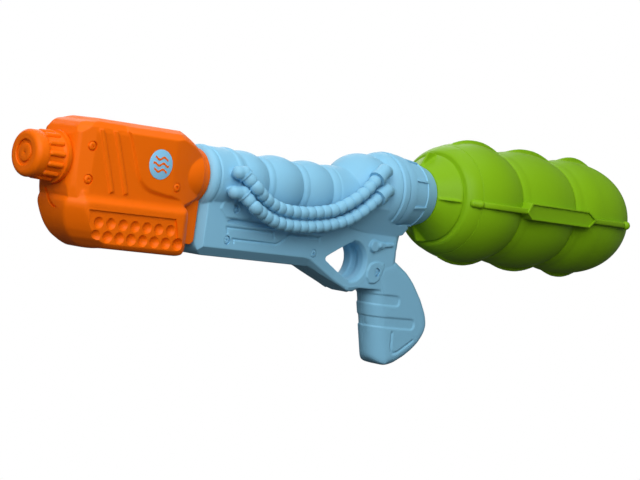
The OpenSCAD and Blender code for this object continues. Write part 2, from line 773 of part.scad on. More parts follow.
// A smooth curve through the route's points, u from 0 to 1; both ends run straight.
function heading(pts, i) = let (n = len(pts) - 1)
    i == 1 ? unit(pts[1] - pts[0]) * norm(pts[2] - pts[1])
    : i == n - 1 ? unit(pts[n] - pts[n - 1]) * norm(pts[n - 1] - pts[n - 2])
    : (pts[i + 1] - pts[i - 1]) / 2;
function along(pts, u) = let (n = len(pts) - 1, k = min(n - 1, floor(u * n)), t = u * n - k,
    p = pts[k], q = pts[k + 1])
    k == 0 || k == n - 1 ? p + (q - p) * t
    : (1 + 2 * t) * (1 - t) * (1 - t) * p + t * (1 - t) * (1 - t) * heading(pts, k)
    + t * t * (3 - 2 * t) * q + t * t * (t - 1) * heading(pts, k + 1);
samples = 60;
// Length run so far against u, to space the ribs evenly.
function run_table(pts) = [for (i = 0, s = 0; i <= samples;
    s = s + norm(along(pts, min(1, (i + 1) / samples)) - along(pts, i / samples)), i = i + 1)
    [s, i / samples]];
function unit(v) = v / norm(v);

function ring(c, dir, r, n = 8) = let (a = unit(cross(dir, [0, 1, 0])), b = unit(cross(dir, a)))
    [for (i = [0:n - 1]) c + r * (cos(i * 360 / n) * a + sin(i * 360 / n) * b)];

// One closed tube: the ribbed outside rings, then the bore's rings back again.
module ribbed_hose(pts, n = 8) {
    table = run_table(pts);
    length = table[samples][0];
    ribs = round(length / hose_pitch);
    stations = [for (j = [0:2 * ribs]) lookup(length * j / (2 * ribs), table)];
    dirs = [for (u = stations) let (a = max(0, u - 0.01), b = min(1, u + 0.01))
        along(pts, b) - along(pts, a)];
    outer = [for (j = [0:2 * ribs]) ring(along(pts, stations[j]), dirs[j],
        j % 2 == 1 ? hose_r : hose_r - 1.3, n)];
    inner = [for (j = [2 * ribs:-2:0]) ring(along(pts, stations[j]), dirs[j], hose_r - 2.6, n)];
    rings = concat(outer, inner);
    m = len(rings);
    points = [for (r = rings, p = r) p];
    faces = [for (j = [0:m - 1], i = [0:n - 1], h = [0, 1]) let (k = (j + 1) % m, l = (i + 1) % n)
        h == 0 ? [j * n + i, k * n + i, j * n + l] : [j * n + l, k * n + i, k * n + l]];
    polyhedron(points, faces);
}

module upper_hose() { color(blue) ribbed_hose(upper_route); }
module lower_hose() { color(blue) ribbed_hose(lower_route); }

// A round bar from p to q.
module strut(p, q, r) {
    d = q - p;
    translate(p) rotate([0, acos(d[2] / norm(d)), atan2(d[1], d[0])]) cylinder(r = r, h = norm(d));
}

// Half-sunk sockets; each hose butts square on its socket's end.
module hose_sockets() {
    difference() {
        for (route = [upper_route, lower_route]) {
            n = len(route) - 1;
            d = unit(route[1] - route[0]);
            e = unit(route[n] - route[n - 1]);
            bulb = route[0] - 7 * d;
            strut(route[0], bulb, hose_r + 0.3);
            translate(bulb) sphere(r = socket_r - 0.4);
            strut(bulb, bulb - [15, 0, 0], socket_r - 1.4);
            strut(route[n], route[n] + 14 * e, socket_r);
            translate(route[n] + 14 * e) sphere(r = socket_r - 1);
        }
        bar(0, 260, barrel_valley_r - 1);
        bar(260, far * 2, 24.2, tank_z);
    }
}

// ---- tank and collar

module tank_gasket() {
    color(black) difference() {
        bar(gasket_x, gasket_x + gasket_t, neck_r - 0.5, tank_z);
        bar(0, far * 2, neck_bore_r, tank_z);
    }
}

module tank_collar() {
    x = collar_x0;
    rear_r = 25.4;
    front_r = 32.2;
    bead_x1 = neck_x + bead_t;
    color(blue) difference() {
        union() {
            turned([[collar_x0, 0], [collar_x0, front_r], [x + 4.6, front_r + 0.3],
                [x + 10.6, 31.6], [x + 11.2, 30.4], [x + 17.6, 29.6], [x + 26, 28.6],
                [x + 26.6, 29.5], [x + 31.6, 28], [x + 37.6, 26.4],
                [collar_x1, rear_r], [collar_x1, 0]], tank_z);
            for (a = [20:45:360]) translate([0, 0, tank_z]) rotate([a, 0, 0])
                side([[x + 10.6, 27], [x + 10.6, 32.2], [x + 27.1, 29.6], [x + 27.1, 27]], -1, 1);
        }
        bar(0, neck_x + 0.5, thread_r, tank_z);
        bar(neck_x, bead_x1 + 2 * run, bead_r + free, tank_z);
        bar(0, far * 2, neck_r + free, tank_z);
    }
}

lobe_x = [for (i = [0:3]) lobes_x + i * lobe_pitch];
crease_r = 39.4;
seam_x = shoulder_x + 14;
seam_r = crease_r + 8.8;

// One lobe after another as x, r points, smaller by the wall w.
tail_x = lobe_x[2] + 25;
function tank_profile(w) = concat(
    [[shoulder_x, crease_r - w], [shoulder_x + 1, crease_r + 2.5 - w]],
    arc([shoulder_x + 1, crease_r + 2.5 - w], [seam_x - 0.3, seam_r - w], 0.7, 4),
    [[seam_x, seam_r - 0.4 - w], [seam_x + 0.4, seam_r - 0.4 - w]],
    arc([seam_x + 0.7, seam_r + 0.3 - w], [lobe_x[1] - 3, lobe_valley_r + 0.2 - w], 5.3, 9),
    [[lobe_x[1] - 2, lobe_valley_r - w]],
    arc([lobe_x[1] + 4, lobe_valley_r + 0.6 - w], [lobe_x[2] - 3, lobe_valley_r + 0.2 - w],
        lobe_r - lobe_valley_r - 0.2, 10),
    [[lobe_x[2] - 2, lobe_valley_r - w]],
    arc([lobe_x[2] + 4, lobe_valley_r + 0.6 - w], [tail_x, lobe_r - w], 1.4, 3),
    [for (a = [10:10:90]) [tail_x + (tank_x1 - tail_x - w) * pow(sin(a), 0.9),
        (lobe_r - w) * pow(cos(a), 0.8)]]);

module tank() {
    lip = neck_x + bead_t;
    color(green) difference() {
        union() {
            turned(concat([[neck_x, 0], [neck_x, bead_r], [lip, bead_r], [lip, neck_r],
                [collar_x1 + 0.6, neck_r], [collar_x1 + 0.6, rear_taper()]],
                tank_profile(0)), tank_z);
            tank_fins();
            tank_shoulder_ribs();
            tank_side_rib();
        }
        bar(neck_x - 1, collar_x1 + 3, neck_bore_r, tank_z);
        turned(concat([[collar_x1 + 2, 0], [collar_x1 + 2, neck_bore_r]],
            tank_profile(tank_wall)), tank_z);
    }
}
function rear_taper() = 25.6;

// Moulding seams along the top and the bottom, following the lobes.
module tank_fins() {
    t = 2.4;
    fins = [[lobe_x[0] + 12, lobe_valley_r + 4, 3.6, 7.3], [lobe_x[1] + 1, lobe_valley_r + 1, 3, 8.2],
        [lobe_x[2] + 1, lobe_valley_r + 1, -0.2, 9.8]];
    for (m = [0, 1]) translate([0, 0, tank_z]) mirror([0, 0, m])
        for (i = [0:2]) let (f = fins[i], x1 = lobe_x[i] + lobe_pitch - 12)
            side(concat([[f[0], 40]], arc([f[0], f[1]], [x1, lobe_valley_r + f[2] - 1], f[3], 8), [[x1, 40]]),
                -t / 2, t / 2);
}

// Four thin gussets between the neck and the shoulder's crease.
module tank_shoulder_ribs() {
    for (a = [0:90:270]) translate([0, 0, tank_z]) rotate([a, 0, 0])
        side([[neck_x + 20, neck_bore_r + 3], [neck_x + 20, 27.5], [436, 39.5], [444, 39.4],
            [shoulder_x, crease_r - 1.5], [shoulder_x, 30]], -1.2, 1.2);
}

// Rib along each side at the axis' height, with the bare plate on it.
module tank_side_rib() {
    out = lobe_r + 4.5;
    for (m = [0, 1]) mirror([0, m, 0]) {
        plan([[shoulder_x + 2, -30], [shoulder_x + 2, -crease_r - 4.5], [463, -lobe_valley_r - 4],
            [476, -out + 1.2], [490, -out], [652, -out], [664, -out + 5], [664, -30]],
            tank_z - 3, tank_z + 3);
        for (p = [[455, -crease_r - 5.2], [662, -out + 4.5]])
            translate([p[0], p[1], tank_z]) sphere(r = 4);
    }
    // the plate, on the left side only, with a raised frame round its bare field
    difference() {
        side([[512.5, tank_z - 1], [517.5, tank_z + 8], [599, tank_z + 8], [612, tank_z + 1],
            [602.5, tank_z - 7], [520.5, tank_z - 7]], -out - 1.2, -lobe_valley_r + 4);
        side([[515.5, tank_z - 0.8], [519.4, tank_z + 6.4], [598.2, tank_z + 6.4],
            [608.4, tank_z + 0.8], [601.4, tank_z - 5.4], [521.6, tank_z - 5.4]], -far, -out - 0.4);
    }
}

tube_r = 5;
tube_bore_r = 3.6;
tube_x0 = neck_x + 4;
tube_x1 = 590;

module suction_tube() {
    color(grey) difference() {
        bar(tube_x0, tube_x1, tube_r, tank_z);
        bar(0, far * 2, tube_bore_r, tank_z);
    }
}

module suction_filter() {
    color(grey) difference() {
        bar(tube_x1 - 6, tube_x1 + 14, tube_r + 2.5, tank_z);
        bar(tube_x1 - 7, tube_x1, tube_r, tank_z);
        bar(tube_x1 - 1, tube_x1 + 12, tube_r - 0.6, tank_z);
        for (a = [0:60:120]) translate([tube_x1 + 6, 0, tank_z]) rotate([a, 0, 0])
            translate([-5, -0.8, -20]) cube([10, 1.6, 40]);
    }
}

nozzle_cap();
nozzle_insert();
nozzle_seal();
foreend_left_shell();
foreend_right_shell();
foreend_screws();
badge();
rod_nose();
piston_rod();
piston_head();
piston_seal();
outlet_valve();
body_left_shell();
body_right_shell();
body_screws();
rod_bush();
pump_cylinder();
bumper_ring();
inlet_manifold();
inlet_flap();
inlet_stud();
upper_hose();
lower_hose();
tank_gasket();
tank_collar();
tank();
suction_tube();
suction_filter();
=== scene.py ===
"""Looks of the water squirter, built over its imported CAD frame.

Sizes and points are written in millimetres, and MM turns them into the scene's metres. Only the camera,
the lamps and the floor are placed in metres. X runs back along the barrel from the nozzle's face, Z is
up, and the toy's left side faces -Y.
"""

import math

import bpy
from mathutils import Matrix, Vector


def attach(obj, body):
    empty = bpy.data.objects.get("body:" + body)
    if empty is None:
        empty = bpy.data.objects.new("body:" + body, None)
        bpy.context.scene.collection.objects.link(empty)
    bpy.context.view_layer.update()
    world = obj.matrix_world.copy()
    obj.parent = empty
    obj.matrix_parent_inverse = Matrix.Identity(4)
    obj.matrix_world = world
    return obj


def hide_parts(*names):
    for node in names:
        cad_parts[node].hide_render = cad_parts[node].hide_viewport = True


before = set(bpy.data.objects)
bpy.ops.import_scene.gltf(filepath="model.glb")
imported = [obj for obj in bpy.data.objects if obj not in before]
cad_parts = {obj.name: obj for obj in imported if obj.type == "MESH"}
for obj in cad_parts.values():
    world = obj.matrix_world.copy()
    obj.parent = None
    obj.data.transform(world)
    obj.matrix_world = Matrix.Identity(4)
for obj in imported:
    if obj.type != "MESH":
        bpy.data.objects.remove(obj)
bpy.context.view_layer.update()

MM = 0.001
TANK_Z = 9.6  # the tank's axis above the barrel's
SEAM_GAP = 0.06  # half of the hairline between two mould halves
REACH = 60  # half-width of a form or cutter that runs right across the toy


# Camera

CAMERA_PLACE = (-0.9992, -1.3213, -0.0016)
CAMERA_ANGLES = (-44.92, 1.14, 7.91)  # azimuth, elevation and roll in degrees
FOCAL_PIXELS, PHOTO_PIXELS = 2222.05, 640  # focal length and width of the photograph
SENSOR_WIDTH = 36.0


def linked(name, data):
    """A new object in the scene."""
    item = bpy.data.objects.new(name, data)
    bpy.context.scene.collection.objects.link(item)
    return item


def add_camera():
    """The camera of the photograph: place, turn and lens as solved from the turned parts' outlines."""
    azimuth, elevation, roll = (math.radians(a) for a in CAMERA_ANGLES)
    back = Vector((math.sin(azimuth) * math.cos(elevation),
                   -math.cos(azimuth) * math.cos(elevation), math.sin(elevation)))
    right = (-back).cross(Vector((0, 0, 1))).normalized()
    up = right.cross(-back)
    side = math.cos(roll) * right + math.sin(roll) * up
    top = -math.sin(roll) * right + math.cos(roll) * up
    data = bpy.data.cameras.new("camera")
    data.sensor_width = SENSOR_WIDTH
    data.lens = FOCAL_PIXELS / PHOTO_PIXELS * SENSOR_WIDTH
    data.clip_end = 20
    camera = linked("camera", data)
    turn = Matrix((side, top, back)).transposed().to_4x4()
    camera.matrix_world = Matrix.Translation(CAMERA_PLACE) @ turn
    bpy.context.scene.camera = camera


# Modelling by hand

def select_only(piece):
    bpy.ops.object.select_all(action="DESELECT")
    piece.select_set(True)
    bpy.context.view_layer.objects.active = piece


def edit(piece):
    """Opens a piece for editing with everything on it selected."""
    select_only(piece)
    bpy.ops.object.mode_set(mode="EDIT")
    bpy.ops.mesh.select_all(action="SELECT")


def leave_edit():
    bpy.ops.object.mode_set(mode="OBJECT")


def outward(piece, merge=0.0):
    """Points all faces outwards, after merging points that lie nearer than merge where it is given."""
    edit(piece)
    if merge:
        bpy.ops.mesh.remove_doubles(threshold=merge)
    bpy.ops.mesh.normals_make_consistent(inside=False)
    leave_edit()
    return piece


def new_piece(name, points, edges, faces):
    """Points in millimetres."""
    mesh = bpy.data.meshes.new(name)
    mesh.from_pydata([Vector(p) * MM for p in points], edges, faces)
    return linked(name, mesh)


def apply_modifier(piece, kind, **values):
    select_only(piece)
    modifier = piece.modifiers.new(kind.lower(), kind)
    for key, value in values.items():
        setattr(modifier, key, value)
    bpy.ops.object.modifier_apply(modifier=modifier.name)


def drop(piece):
    mesh = piece.data
    bpy.data.objects.remove(piece)
    bpy.data.meshes.remove(mesh)


def combine(piece, others, how="UNION"):
    """Joins, cuts or intersects a piece with other pieces, which are used up."""
    for other in others:
        apply_modifier(piece, "BOOLEAN", object=other, operation=how, solver="MANIFOLD")
        drop(other)
    return piece


def softened(piece, width, segments):
    """Bevels a piece's sharp edges."""
    apply_modifier(piece, "BEVEL", width=width * MM, segments=segments, limit_method="ANGLE")
    return piece


def cut(piece, *others):
    return combine(piece, others, "DIFFERENCE")


def keep(piece, *others):
    return combine(piece, others, "INTERSECT")


def joined(pieces):
    """Makes one closed form of many overlapping ones."""
    return combine(pieces[0], pieces[1:])


def spun(name, profile, z=0.0, steps=96):
    """Turns an outline of x, r points about the barrel's axis, or one z above it."""
    points = [(x, 0, z + r) for x, r in profile]
    piece = new_piece(name, points, [(i, i + 1) for i in range(len(points) - 1)], [])
    edit(piece)
    bpy.ops.mesh.spin(steps=steps, angle=math.tau, center=(0, 0, z * MM), axis=(1, 0, 0))
    leave_edit()
    return outward(piece, 2e-6)


def closed_spun(name, profile, z=0.0, steps=96):
    """As spun, with the outline run down to the axis at both ends."""
    return spun(name, [(profile[0][0], 0)] + list(profile) + [(profile[-1][0], 0)], z, steps)


def slab(name, outline, along="y", low=-REACH, high=REACH):
    """A flat outline extruded along X, Y or Z from low to high."""
    axis = "xyz".index(along)
    points = [(*point[:axis], low, *point[axis:]) for point in outline]
    piece = new_piece(name, points, [], [list(range(len(points)))])
    step = Vector((0, 0, 0))
    step[axis] = 1
    edit(piece)
    bpy.ops.mesh.extrude_region_move(TRANSFORM_OT_translate={"value": step * (high - low) * MM})
    leave_edit()
    return outward(piece)


def lofted(name, outline_a, outline_b, low, high):
    """A side outline at y = low that changes into another, of as many points, at y = high."""
    points = [(x, low, z) for x, z in outline_a] + [(x, high, z) for x, z in outline_b]
    count = len(outline_a)
    faces = [list(range(count)), list(range(count, 2 * count))]
    faces += [[i, (i + 1) % count, count + (i + 1) % count, count + i] for i in range(count)]
    return outward(new_piece(name, points, [], faces))


def rod_between(name, start, end, radius, steps=32):
    """A round bar between two points."""
    start, end = Vector(start), Vector(end)
    bpy.ops.object.select_all(action="DESELECT")
    bpy.ops.mesh.primitive_cylinder_add(vertices=steps, radius=radius * MM,
                                        depth=(end - start).length * MM)
    piece = bpy.context.active_object
    piece.name = name
    turn = (end - start).to_track_quat("Z", "Y").to_matrix().to_4x4()
    piece.data.transform(Matrix.Translation((start + end) / 2 * MM) @ turn)
    return piece


def moved(piece, by):
    """Moves a piece's mesh by a distance given in millimetres."""
    piece.data.transform(Matrix.Translation(Vector(by) * MM))
    return piece


def ball(name, centre, radius):
    bpy.ops.object.select_all(action="DESELECT")
    bpy.ops.mesh.primitive_uv_sphere_add(segments=32, ring_count=20, radius=radius * MM)
    piece = bpy.context.active_object
    piece.name = name
    return moved(piece, centre)


def capsule(name, start, end, radius, steps=32):
    """A round bar with a ball on each end."""
    return [rod_between(name, start, end, radius, steps),
            ball(name + "_end", start, radius), ball(name + "_end", end, radius)]


def turned(piece, degrees, axis="Y", at=(0, 0, 0)):
    """Turns a piece's mesh about a point given in millimetres."""
    at = Vector(at) * MM
    turn = Matrix.Rotation(math.radians(degrees), 4, axis)
    piece.data.transform(Matrix.Translation(at) @ turn @ Matrix.Translation(-at))
    return piece


def moulded(piece, voxel, passes):
    """Gives a form the soft edges of a moulding: an even skin, then smoothed."""
    apply_modifier(piece, "REMESH", mode="VOXEL", voxel_size=voxel * MM, use_smooth_shade=True)
    apply_modifier(piece, "SMOOTH", factor=0.5, iterations=passes)
    return piece


def copied(piece, name):
    copy = piece.copy()
    copy.data = piece.data.copy()
    copy.name = name
    bpy.context.scene.collection.objects.link(copy)
    return copy


def half_of(piece, name, left):
    """A copy of one half of a form, cut at the mould's parting plane and closed there."""
    side = -1 if left else 1
    near, far = sorted((side * SEAM_GAP, side * 90))
    return keep(copied(piece, name),
                slab("half_space", [(-50, -200), (750, -200), (750, 120), (-50, 120)], "y", near, far))


def arc(a, b, swell, steps):
    """Points of a shallow arc from a to b that swells to its left."""
    (ax, ay), (bx, by) = a, b
    dx, dy = bx - ax, by - ay
    length = math.hypot(dx, dy)
    nx, ny = -dy / length, dx / length
    return [(ax + dx * t + nx * 4 * swell * t * (1 - t), ay + dy * t + ny * 4 * swell * t * (1 - t))
            for t in (i / steps for i in range(steps + 1))]


def corner(centre, radius, first, last, steps):
    """Points of a circle's arc between two angles in degrees."""
    angles = [math.radians(first + (last - first) * i / steps) for i in range(steps + 1)]
    return [(centre[0] + radius * math.cos(a), centre[1] + radius * math.sin(a)) for a in angles]


def on_both_sides(outline, near, far):
    """The same slab on both sides of the parting plane, between two distances from it."""
    return [slab("side_form", outline, "y", -far, -near), slab("side_form", outline, "y", near, far)]


def line_cuts(points, width, near):
    """Cutters for a line pressed into both sides, a pair for each stretch between its points."""
    cuts = []
    for (ax, az), (bx, bz) in zip(points, points[1:]):
        length = math.hypot(bx - ax, bz - az)
        ux, uz = (bx - ax) / length * width / 2, (bz - az) / length * width / 2
        outline = [(ax - ux - uz, az - uz + ux), (bx + ux - uz, bz + uz + ux),
                   (bx + ux + uz, bz + uz - ux), (ax - ux + uz, az - uz - ux)]
        cuts += on_both_sides(outline, near, REACH)
    return cuts


def through(points, steps=5):
    """A smooth run of points through a few given ones."""
    padded = [points[0]] + list(points) + [points[-1]]
    run = []
    for a, b, c, d in zip(padded, padded[1:], padded[2:], padded[3:]):
        for t in (i / steps for i in range(steps)):
            run.append(tuple(
                0.5 * (2 * q + (r - p) * t + (2 * p - 5 * q + 4 * r - s) * t * t
                       + (3 * q - p - 3 * r + s) * t ** 3) for p, q, r, s in zip(a, b, c, d)))
    return run + [points[-1]]


def both_sides(points):
    """Closes half an outline seen from above with its mirror image."""
    return list(points) + [(a, -b) for a, b in reversed(points)]


def both_ways(points):
    """Closes half an outline seen from the front with its mirror image."""
    return list(points) + [(-a, b) for a, b in reversed(points)]


# Finishes

def srgb(text):
    values = [int(text[i:i + 2], 16) / 255 for i in (1, 3, 5)]
    return tuple(v / 12.92 if v <= 0.04045 else ((v + 0.055) / 1.055) ** 2.4 for v in values) + (1.0,)


def moulding_group():
    """Colour, roughness and height of moulded plastic: flow marks, a fine grain and light scuffs."""
    group = bpy.data.node_groups.new("moulded_plastic", "ShaderNodeTree")
    for way, names in (("INPUT", ("Colour", "Variation", "Roughness", "Grain")),
                       ("OUTPUT", ("Colour", "Roughness", "Height"))):
        for name in names:
            kind = "NodeSocketColor" if name == "Colour" else "NodeSocketFloat"
            group.interface.new_socket(name=name, in_out=way, socket_type=kind)
    nodes, links = group.nodes, group.links
    inputs, outputs = nodes.new("NodeGroupInput"), nodes.new("NodeGroupOutput")
    where = nodes.new("ShaderNodeTexCoord")

    def noise(scale, detail, rough=0.5):
        node = nodes.new("ShaderNodeTexNoise")
        node.inputs["Scale"].default_value = scale
        node.inputs["Detail"].default_value = detail
        node.inputs["Roughness"].default_value = rough
        links.new(where.outputs["Object"], node.inputs["Vector"])
        return node

    def maths(kind, a, b):
        node = nodes.new("ShaderNodeMath")
        node.operation = kind
        for socket, value in zip(node.inputs, (a, b)):
            if isinstance(value, (int, float)):
                socket.default_value = value
            else:
                links.new(value, socket)
        return node.outputs[0]

    flow = noise(9, 3)
    fine = noise(900, 2)
    scuff = noise(60, 5, 0.7)
    centred = maths("SUBTRACT", flow.outputs["Fac"], 0.5)
    value = maths("ADD", 1.0, maths("MULTIPLY", centred, inputs.outputs["Variation"]))
    tint = nodes.new("ShaderNodeHueSaturation")
    links.new(inputs.outputs["Colour"], tint.inputs["Color"])
    links.new(value, tint.inputs["Value"])
    links.new(tint.outputs["Color"], outputs.inputs["Colour"])
    worn = maths("MULTIPLY", maths("SUBTRACT", scuff.outputs["Fac"], 0.5), 0.22)
    links.new(maths("ADD", inputs.outputs["Roughness"], worn), outputs.inputs["Roughness"])
    links.new(maths("MULTIPLY", fine.outputs["Fac"], inputs.outputs["Grain"]), outputs.inputs["Height"])
    return group


MOULDING = moulding_group()


def plastic(name, colour, roughness=0.46, grain=0.5, specular=0.15):
    material = bpy.data.materials.new(name)
    material.use_nodes = True
    nodes, links = material.node_tree.nodes, material.node_tree.links
    shader = nodes["Principled BSDF"]
    shader.inputs["Specular IOR Level"].default_value = specular
    group = nodes.new("ShaderNodeGroup")
    group.node_tree = MOULDING
    for socket, value in (("Colour", srgb(colour)), ("Variation", 0.10), ("Roughness", roughness),
                          ("Grain", grain)):
        group.inputs[socket].default_value = value
    bump = nodes.new("ShaderNodeBump")
    bump.inputs["Strength"].default_value = 0.12
    bump.inputs["Distance"].default_value = 0.0002
    links.new(group.outputs["Colour"], shader.inputs["Base Color"])
    links.new(group.outputs["Roughness"], shader.inputs["Roughness"])
    links.new(group.outputs["Height"], bump.inputs["Height"])
    links.new(bump.outputs["Normal"], shader.inputs["Normal"])
    return material


ORANGE = plastic("orange_moulding", "#F26C00")
BLUE = plastic("blue_moulding", "#86C1DF")
GREEN = plastic("green_moulding", "#7FB110", roughness=0.42)
GREY = plastic("white_moulding", "#D9D9D6")
RUBBER = plastic("black_rubber", "#26282A", roughness=0.7, grain=1.0, specular=0.25)
SEAL = plastic("red_rubber", "#7A3B2E", roughness=0.6, grain=1.0, specular=0.25)
BADGE_BLUE = plastic("badge_moulding", "#8CCBF0")


def finish(piece, material, body, nodes, angle=40):
    """Gives a finished piece its material and its body, and hides the CAD nodes that it stands for."""
    piece.data.materials.clear()
    piece.data.materials.append(material)
    select_only(piece)
    bpy.ops.object.shade_smooth_by_angle(angle=math.radians(angle))
    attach(piece, body)
    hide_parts(*nodes)


def finish_shells(form, name, material, body):
    """Parts a moulded form down the middle into its left and right shells."""
    for side in ("left", "right"):
        half = half_of(form, f"{name}_{side}", side == "left")
        finish(half, material, body, [f"{name}_{side}_shell"], 30)
    drop(form)


# Nozzle

CAP_R, CAP_LEN, CAP_FLUTES = 18.0, 30.0, 13


def nozzle_cap():
    """The screw cap: a rounded face, a waist with bar-shaped flutes, and a flange."""
    flange = CAP_R + 2.3
    outside = ([(0.5, 9.9), (0.05, 10.4), (0.0, 13.6)] + corner((4.6, 13.4), 4.6, 180, 95, 8)
               + [(7.0, CAP_R - 0.1), (9.4, CAP_R)]
               + arc((10.4, CAP_R - 0.3), (13.0, CAP_R - 1.2), -0.2, 4)
               + [(CAP_LEN - 6.4, CAP_R - 0.8)]
               + arc((CAP_LEN - 5.6, CAP_R - 0.5), (CAP_LEN - 3.8, flange), -0.4, 4)
               + [(CAP_LEN - 0.9, flange), (CAP_LEN - 0.2, flange - 0.5), (CAP_LEN, flange - 1.4)])
    inside = [(CAP_LEN, 14.0), (8.0, 14.0), (8.0, 12.6), (3.0, 12.6), (3.0, 9.9), (0.5, 9.9)]
    cap = spun("nozzle_cap_shell", outside + inside, steps=104)
    front, back = (12.6, 0, CAP_R - 1.3), (23.4, 0, CAP_R - 0.9)
    combine(cap, [turned(joined(capsule("flute", front, back, 2.2, 24)), i * 360 / CAP_FLUTES, "X")
                  for i in range(CAP_FLUTES)])
    finish(cap, ORANGE, "cap", ["nozzle_cap"])


def nozzle_insert():
    """The disc in the cap's face, with its ring-shaped groove and the jet's small hole."""
    profile = [(2.6, 0.7), (0.6, 0.75), (0.4, 1.1), (0.3, 5.8), (0.6, 6.6), (1.7, 7.1), (1.8, 8.8),
               (1.5, 9.5), (1.6, 9.7), (3.0, 9.7), (3.0, 12.0), (5.5, 12.0), (5.5, 3.5), (4.0, 0.7),
               (2.6, 0.7)]
    insert = spun("nozzle_insert_disc", profile, steps=72)
    finish(insert, ORANGE, "cap", ["nozzle_insert"])


# Fore-end

FORE_X0, FORE_X1 = 30.5, 166.5  # front and rear end
PANEL_W, SHOULDER_W, LEDGE_W = 25.0, 27.2, 29.0  # half-widths of panel, shoulder and hand grip
FORE_TOP, FORE_DROP, LEDGE_Z = 33.0, 64.0, -26.0  # top, bottom and the hand grip's upper edge
RIM_R = 22.5  # radius of the round tail's rim


def fore_plan(width, radius, end, taper, end_width):
    """The outline from above: rounded in front, drawn in towards the tail behind x = taper."""
    return ([(FORE_X0, 0)] + corner((FORE_X0 + radius, width - radius), radius, 180, 90, 12)
            + arc((taper, width), (end, end_width), (width - end_width) / 8, 10) + [(end, 0)])


def fore_blank(name, side, plan, section, corners):
    """A side outline kept within outlines from above, from the front and along both front corners."""
    return keep(slab(name, side),
                slab("plan", both_sides(plan), "z", -100, 100),
                slab("section", both_ways(section), "x", 0, 200),
                turned(slab("corner", corners, "y", -300, 300), 45, "Z"),
                turned(slab("corner", corners, "y", -300, 300), -45, "Z"))


def tail(name, lead, start, swell, steps, rise):
    """A round tail that swells to the stepped rim; rise gives each step's height over RIM_R."""
    rim = [(FORE_X1 - back, RIM_R + r) for back, r in zip((8, 7.6, 5, 4.6, 0), rise)]
    return closed_spun(name, lead + arc(start, rim[0], swell, steps) + rim[1:])


def fore_upper():
    """The part over the hand grip: a box with cut corners that runs out into the round tail."""
    side = [(FORE_X0 + 2.6, LEDGE_Z - 4), (FORE_X0 + 1.2, LEDGE_Z), (FORE_X0, LEDGE_Z + 8),
            (FORE_X0, FORE_TOP - 15), (FORE_X0 + 2.5, FORE_TOP - 8.5), (FORE_X0 + 6, FORE_TOP - 4.6),
            (FORE_X0 + 10, FORE_TOP - 3.2), (FORE_X0 + 14, FORE_TOP - 2.6),
            (FORE_X0 + 17, FORE_TOP - 0.6), (FORE_X0 + 21, FORE_TOP), (FORE_X1, FORE_TOP),
            (FORE_X1, LEDGE_Z - 4)]
    section = [(SHOULDER_W, -100), (SHOULDER_W, FORE_TOP - 8), (SHOULDER_W - 5, FORE_TOP - 3),
               (SHOULDER_W - 12, FORE_TOP)]
    corners = [(11.4, -300), (11.4, -32), (10.4, -27), (9.3, -20), (9, -12), (9, FORE_TOP - 12),
               (9.6, FORE_TOP - 11), (11.4, FORE_TOP - 8.8), (12.8, FORE_TOP - 6.3),
               (15.5, FORE_TOP - 3.7), (28, FORE_TOP + 0.3), (40, 300), (300, 300), (300, -300)]
    plan = fore_plan(SHOULDER_W, 15, FORE_X1, FORE_X0 + 94, 16.5)
    form = fore_blank("fore_upper", side, plan, section, corners)
    keep(form, tail("tail", [(0, 60), (FORE_X0 + 80, 60)], (FORE_X0 + 86, 40), 2.5, 10,
                    (2.6, 1.6, 1.2, 0.6, 0)))
    return combine(form, [tail("tail_ring", [], (126, 19), 2.4, 14, (2.2, 1.3, 0.9, 0.4, -0.2))])


def fore_lower():
    """The part with the hand grip, its chin curved in front and its heel rounded behind."""
    side = ([(FORE_X0 + 2, LEDGE_Z + 5), (FORE_X0 + 2, LEDGE_Z - 2.6)]
            + arc((FORE_X0, LEDGE_Z - 5), (FORE_X0 + 27, -FORE_DROP - 1.2), -7.5, 14)
            + [(FORE_X0 + 33, -FORE_DROP - 1.2), (FORE_X0 + 37, -FORE_DROP),
               (FORE_X0 + 104, -FORE_DROP)]
            + corner((FORE_X0 + 109, -FORE_DROP + 11.5), 11.5, -95, -10, 10)
            + [(FORE_X0 + 119, -40), (FORE_X0 + 116.5, -31), (FORE_X0 + 113, -25),
               (FORE_X0 + 109, LEDGE_Z + 5)])
    section = ([(PANEL_W, LEDGE_Z + 5), (PANEL_W, LEDGE_Z), (LEDGE_W, LEDGE_Z - 4)]
               + corner((LEDGE_W - 11, -FORE_DROP + 9.4), 11, 0, -80, 8) + [(0, -FORE_DROP - 1.6)])
    corners = [(11.4, 300), (11.4, -28.6), (9.4, -30.2), (9.8, -35), (12, -41), (14.4, -46.5),
               (17.4, -52), (22, -57.7), (29.4, -62.8), (36, -66), (40, -300), (300, -300), (300, 300)]
    plan = fore_plan(LEDGE_W, 17, FORE_X0 + 126, FORE_X0 + 109.5, 13)
    return fore_blank("fore_lower", side, plan, section, corners)


# Each row of pockets: count, first x, pitch, z and the balls' distance from the middle.
DIMPLES = ((7, 56.9, 11.9, -44.5, LEDGE_W + 2.2), (8, 55.4, 11.6, -54.7, LEDGE_W + 1.9))
FORE_SCREWS = ((44.0, 11.5), (44.0, -13.5), (130.0, -11.0))
FORE_SEATS = (-23.2, -23.2, -25.2)
BADGE, BADGE_R, BADGE_SEAT = (110.0, 5.0), 11.6, -SHOULDER_W + 1.4


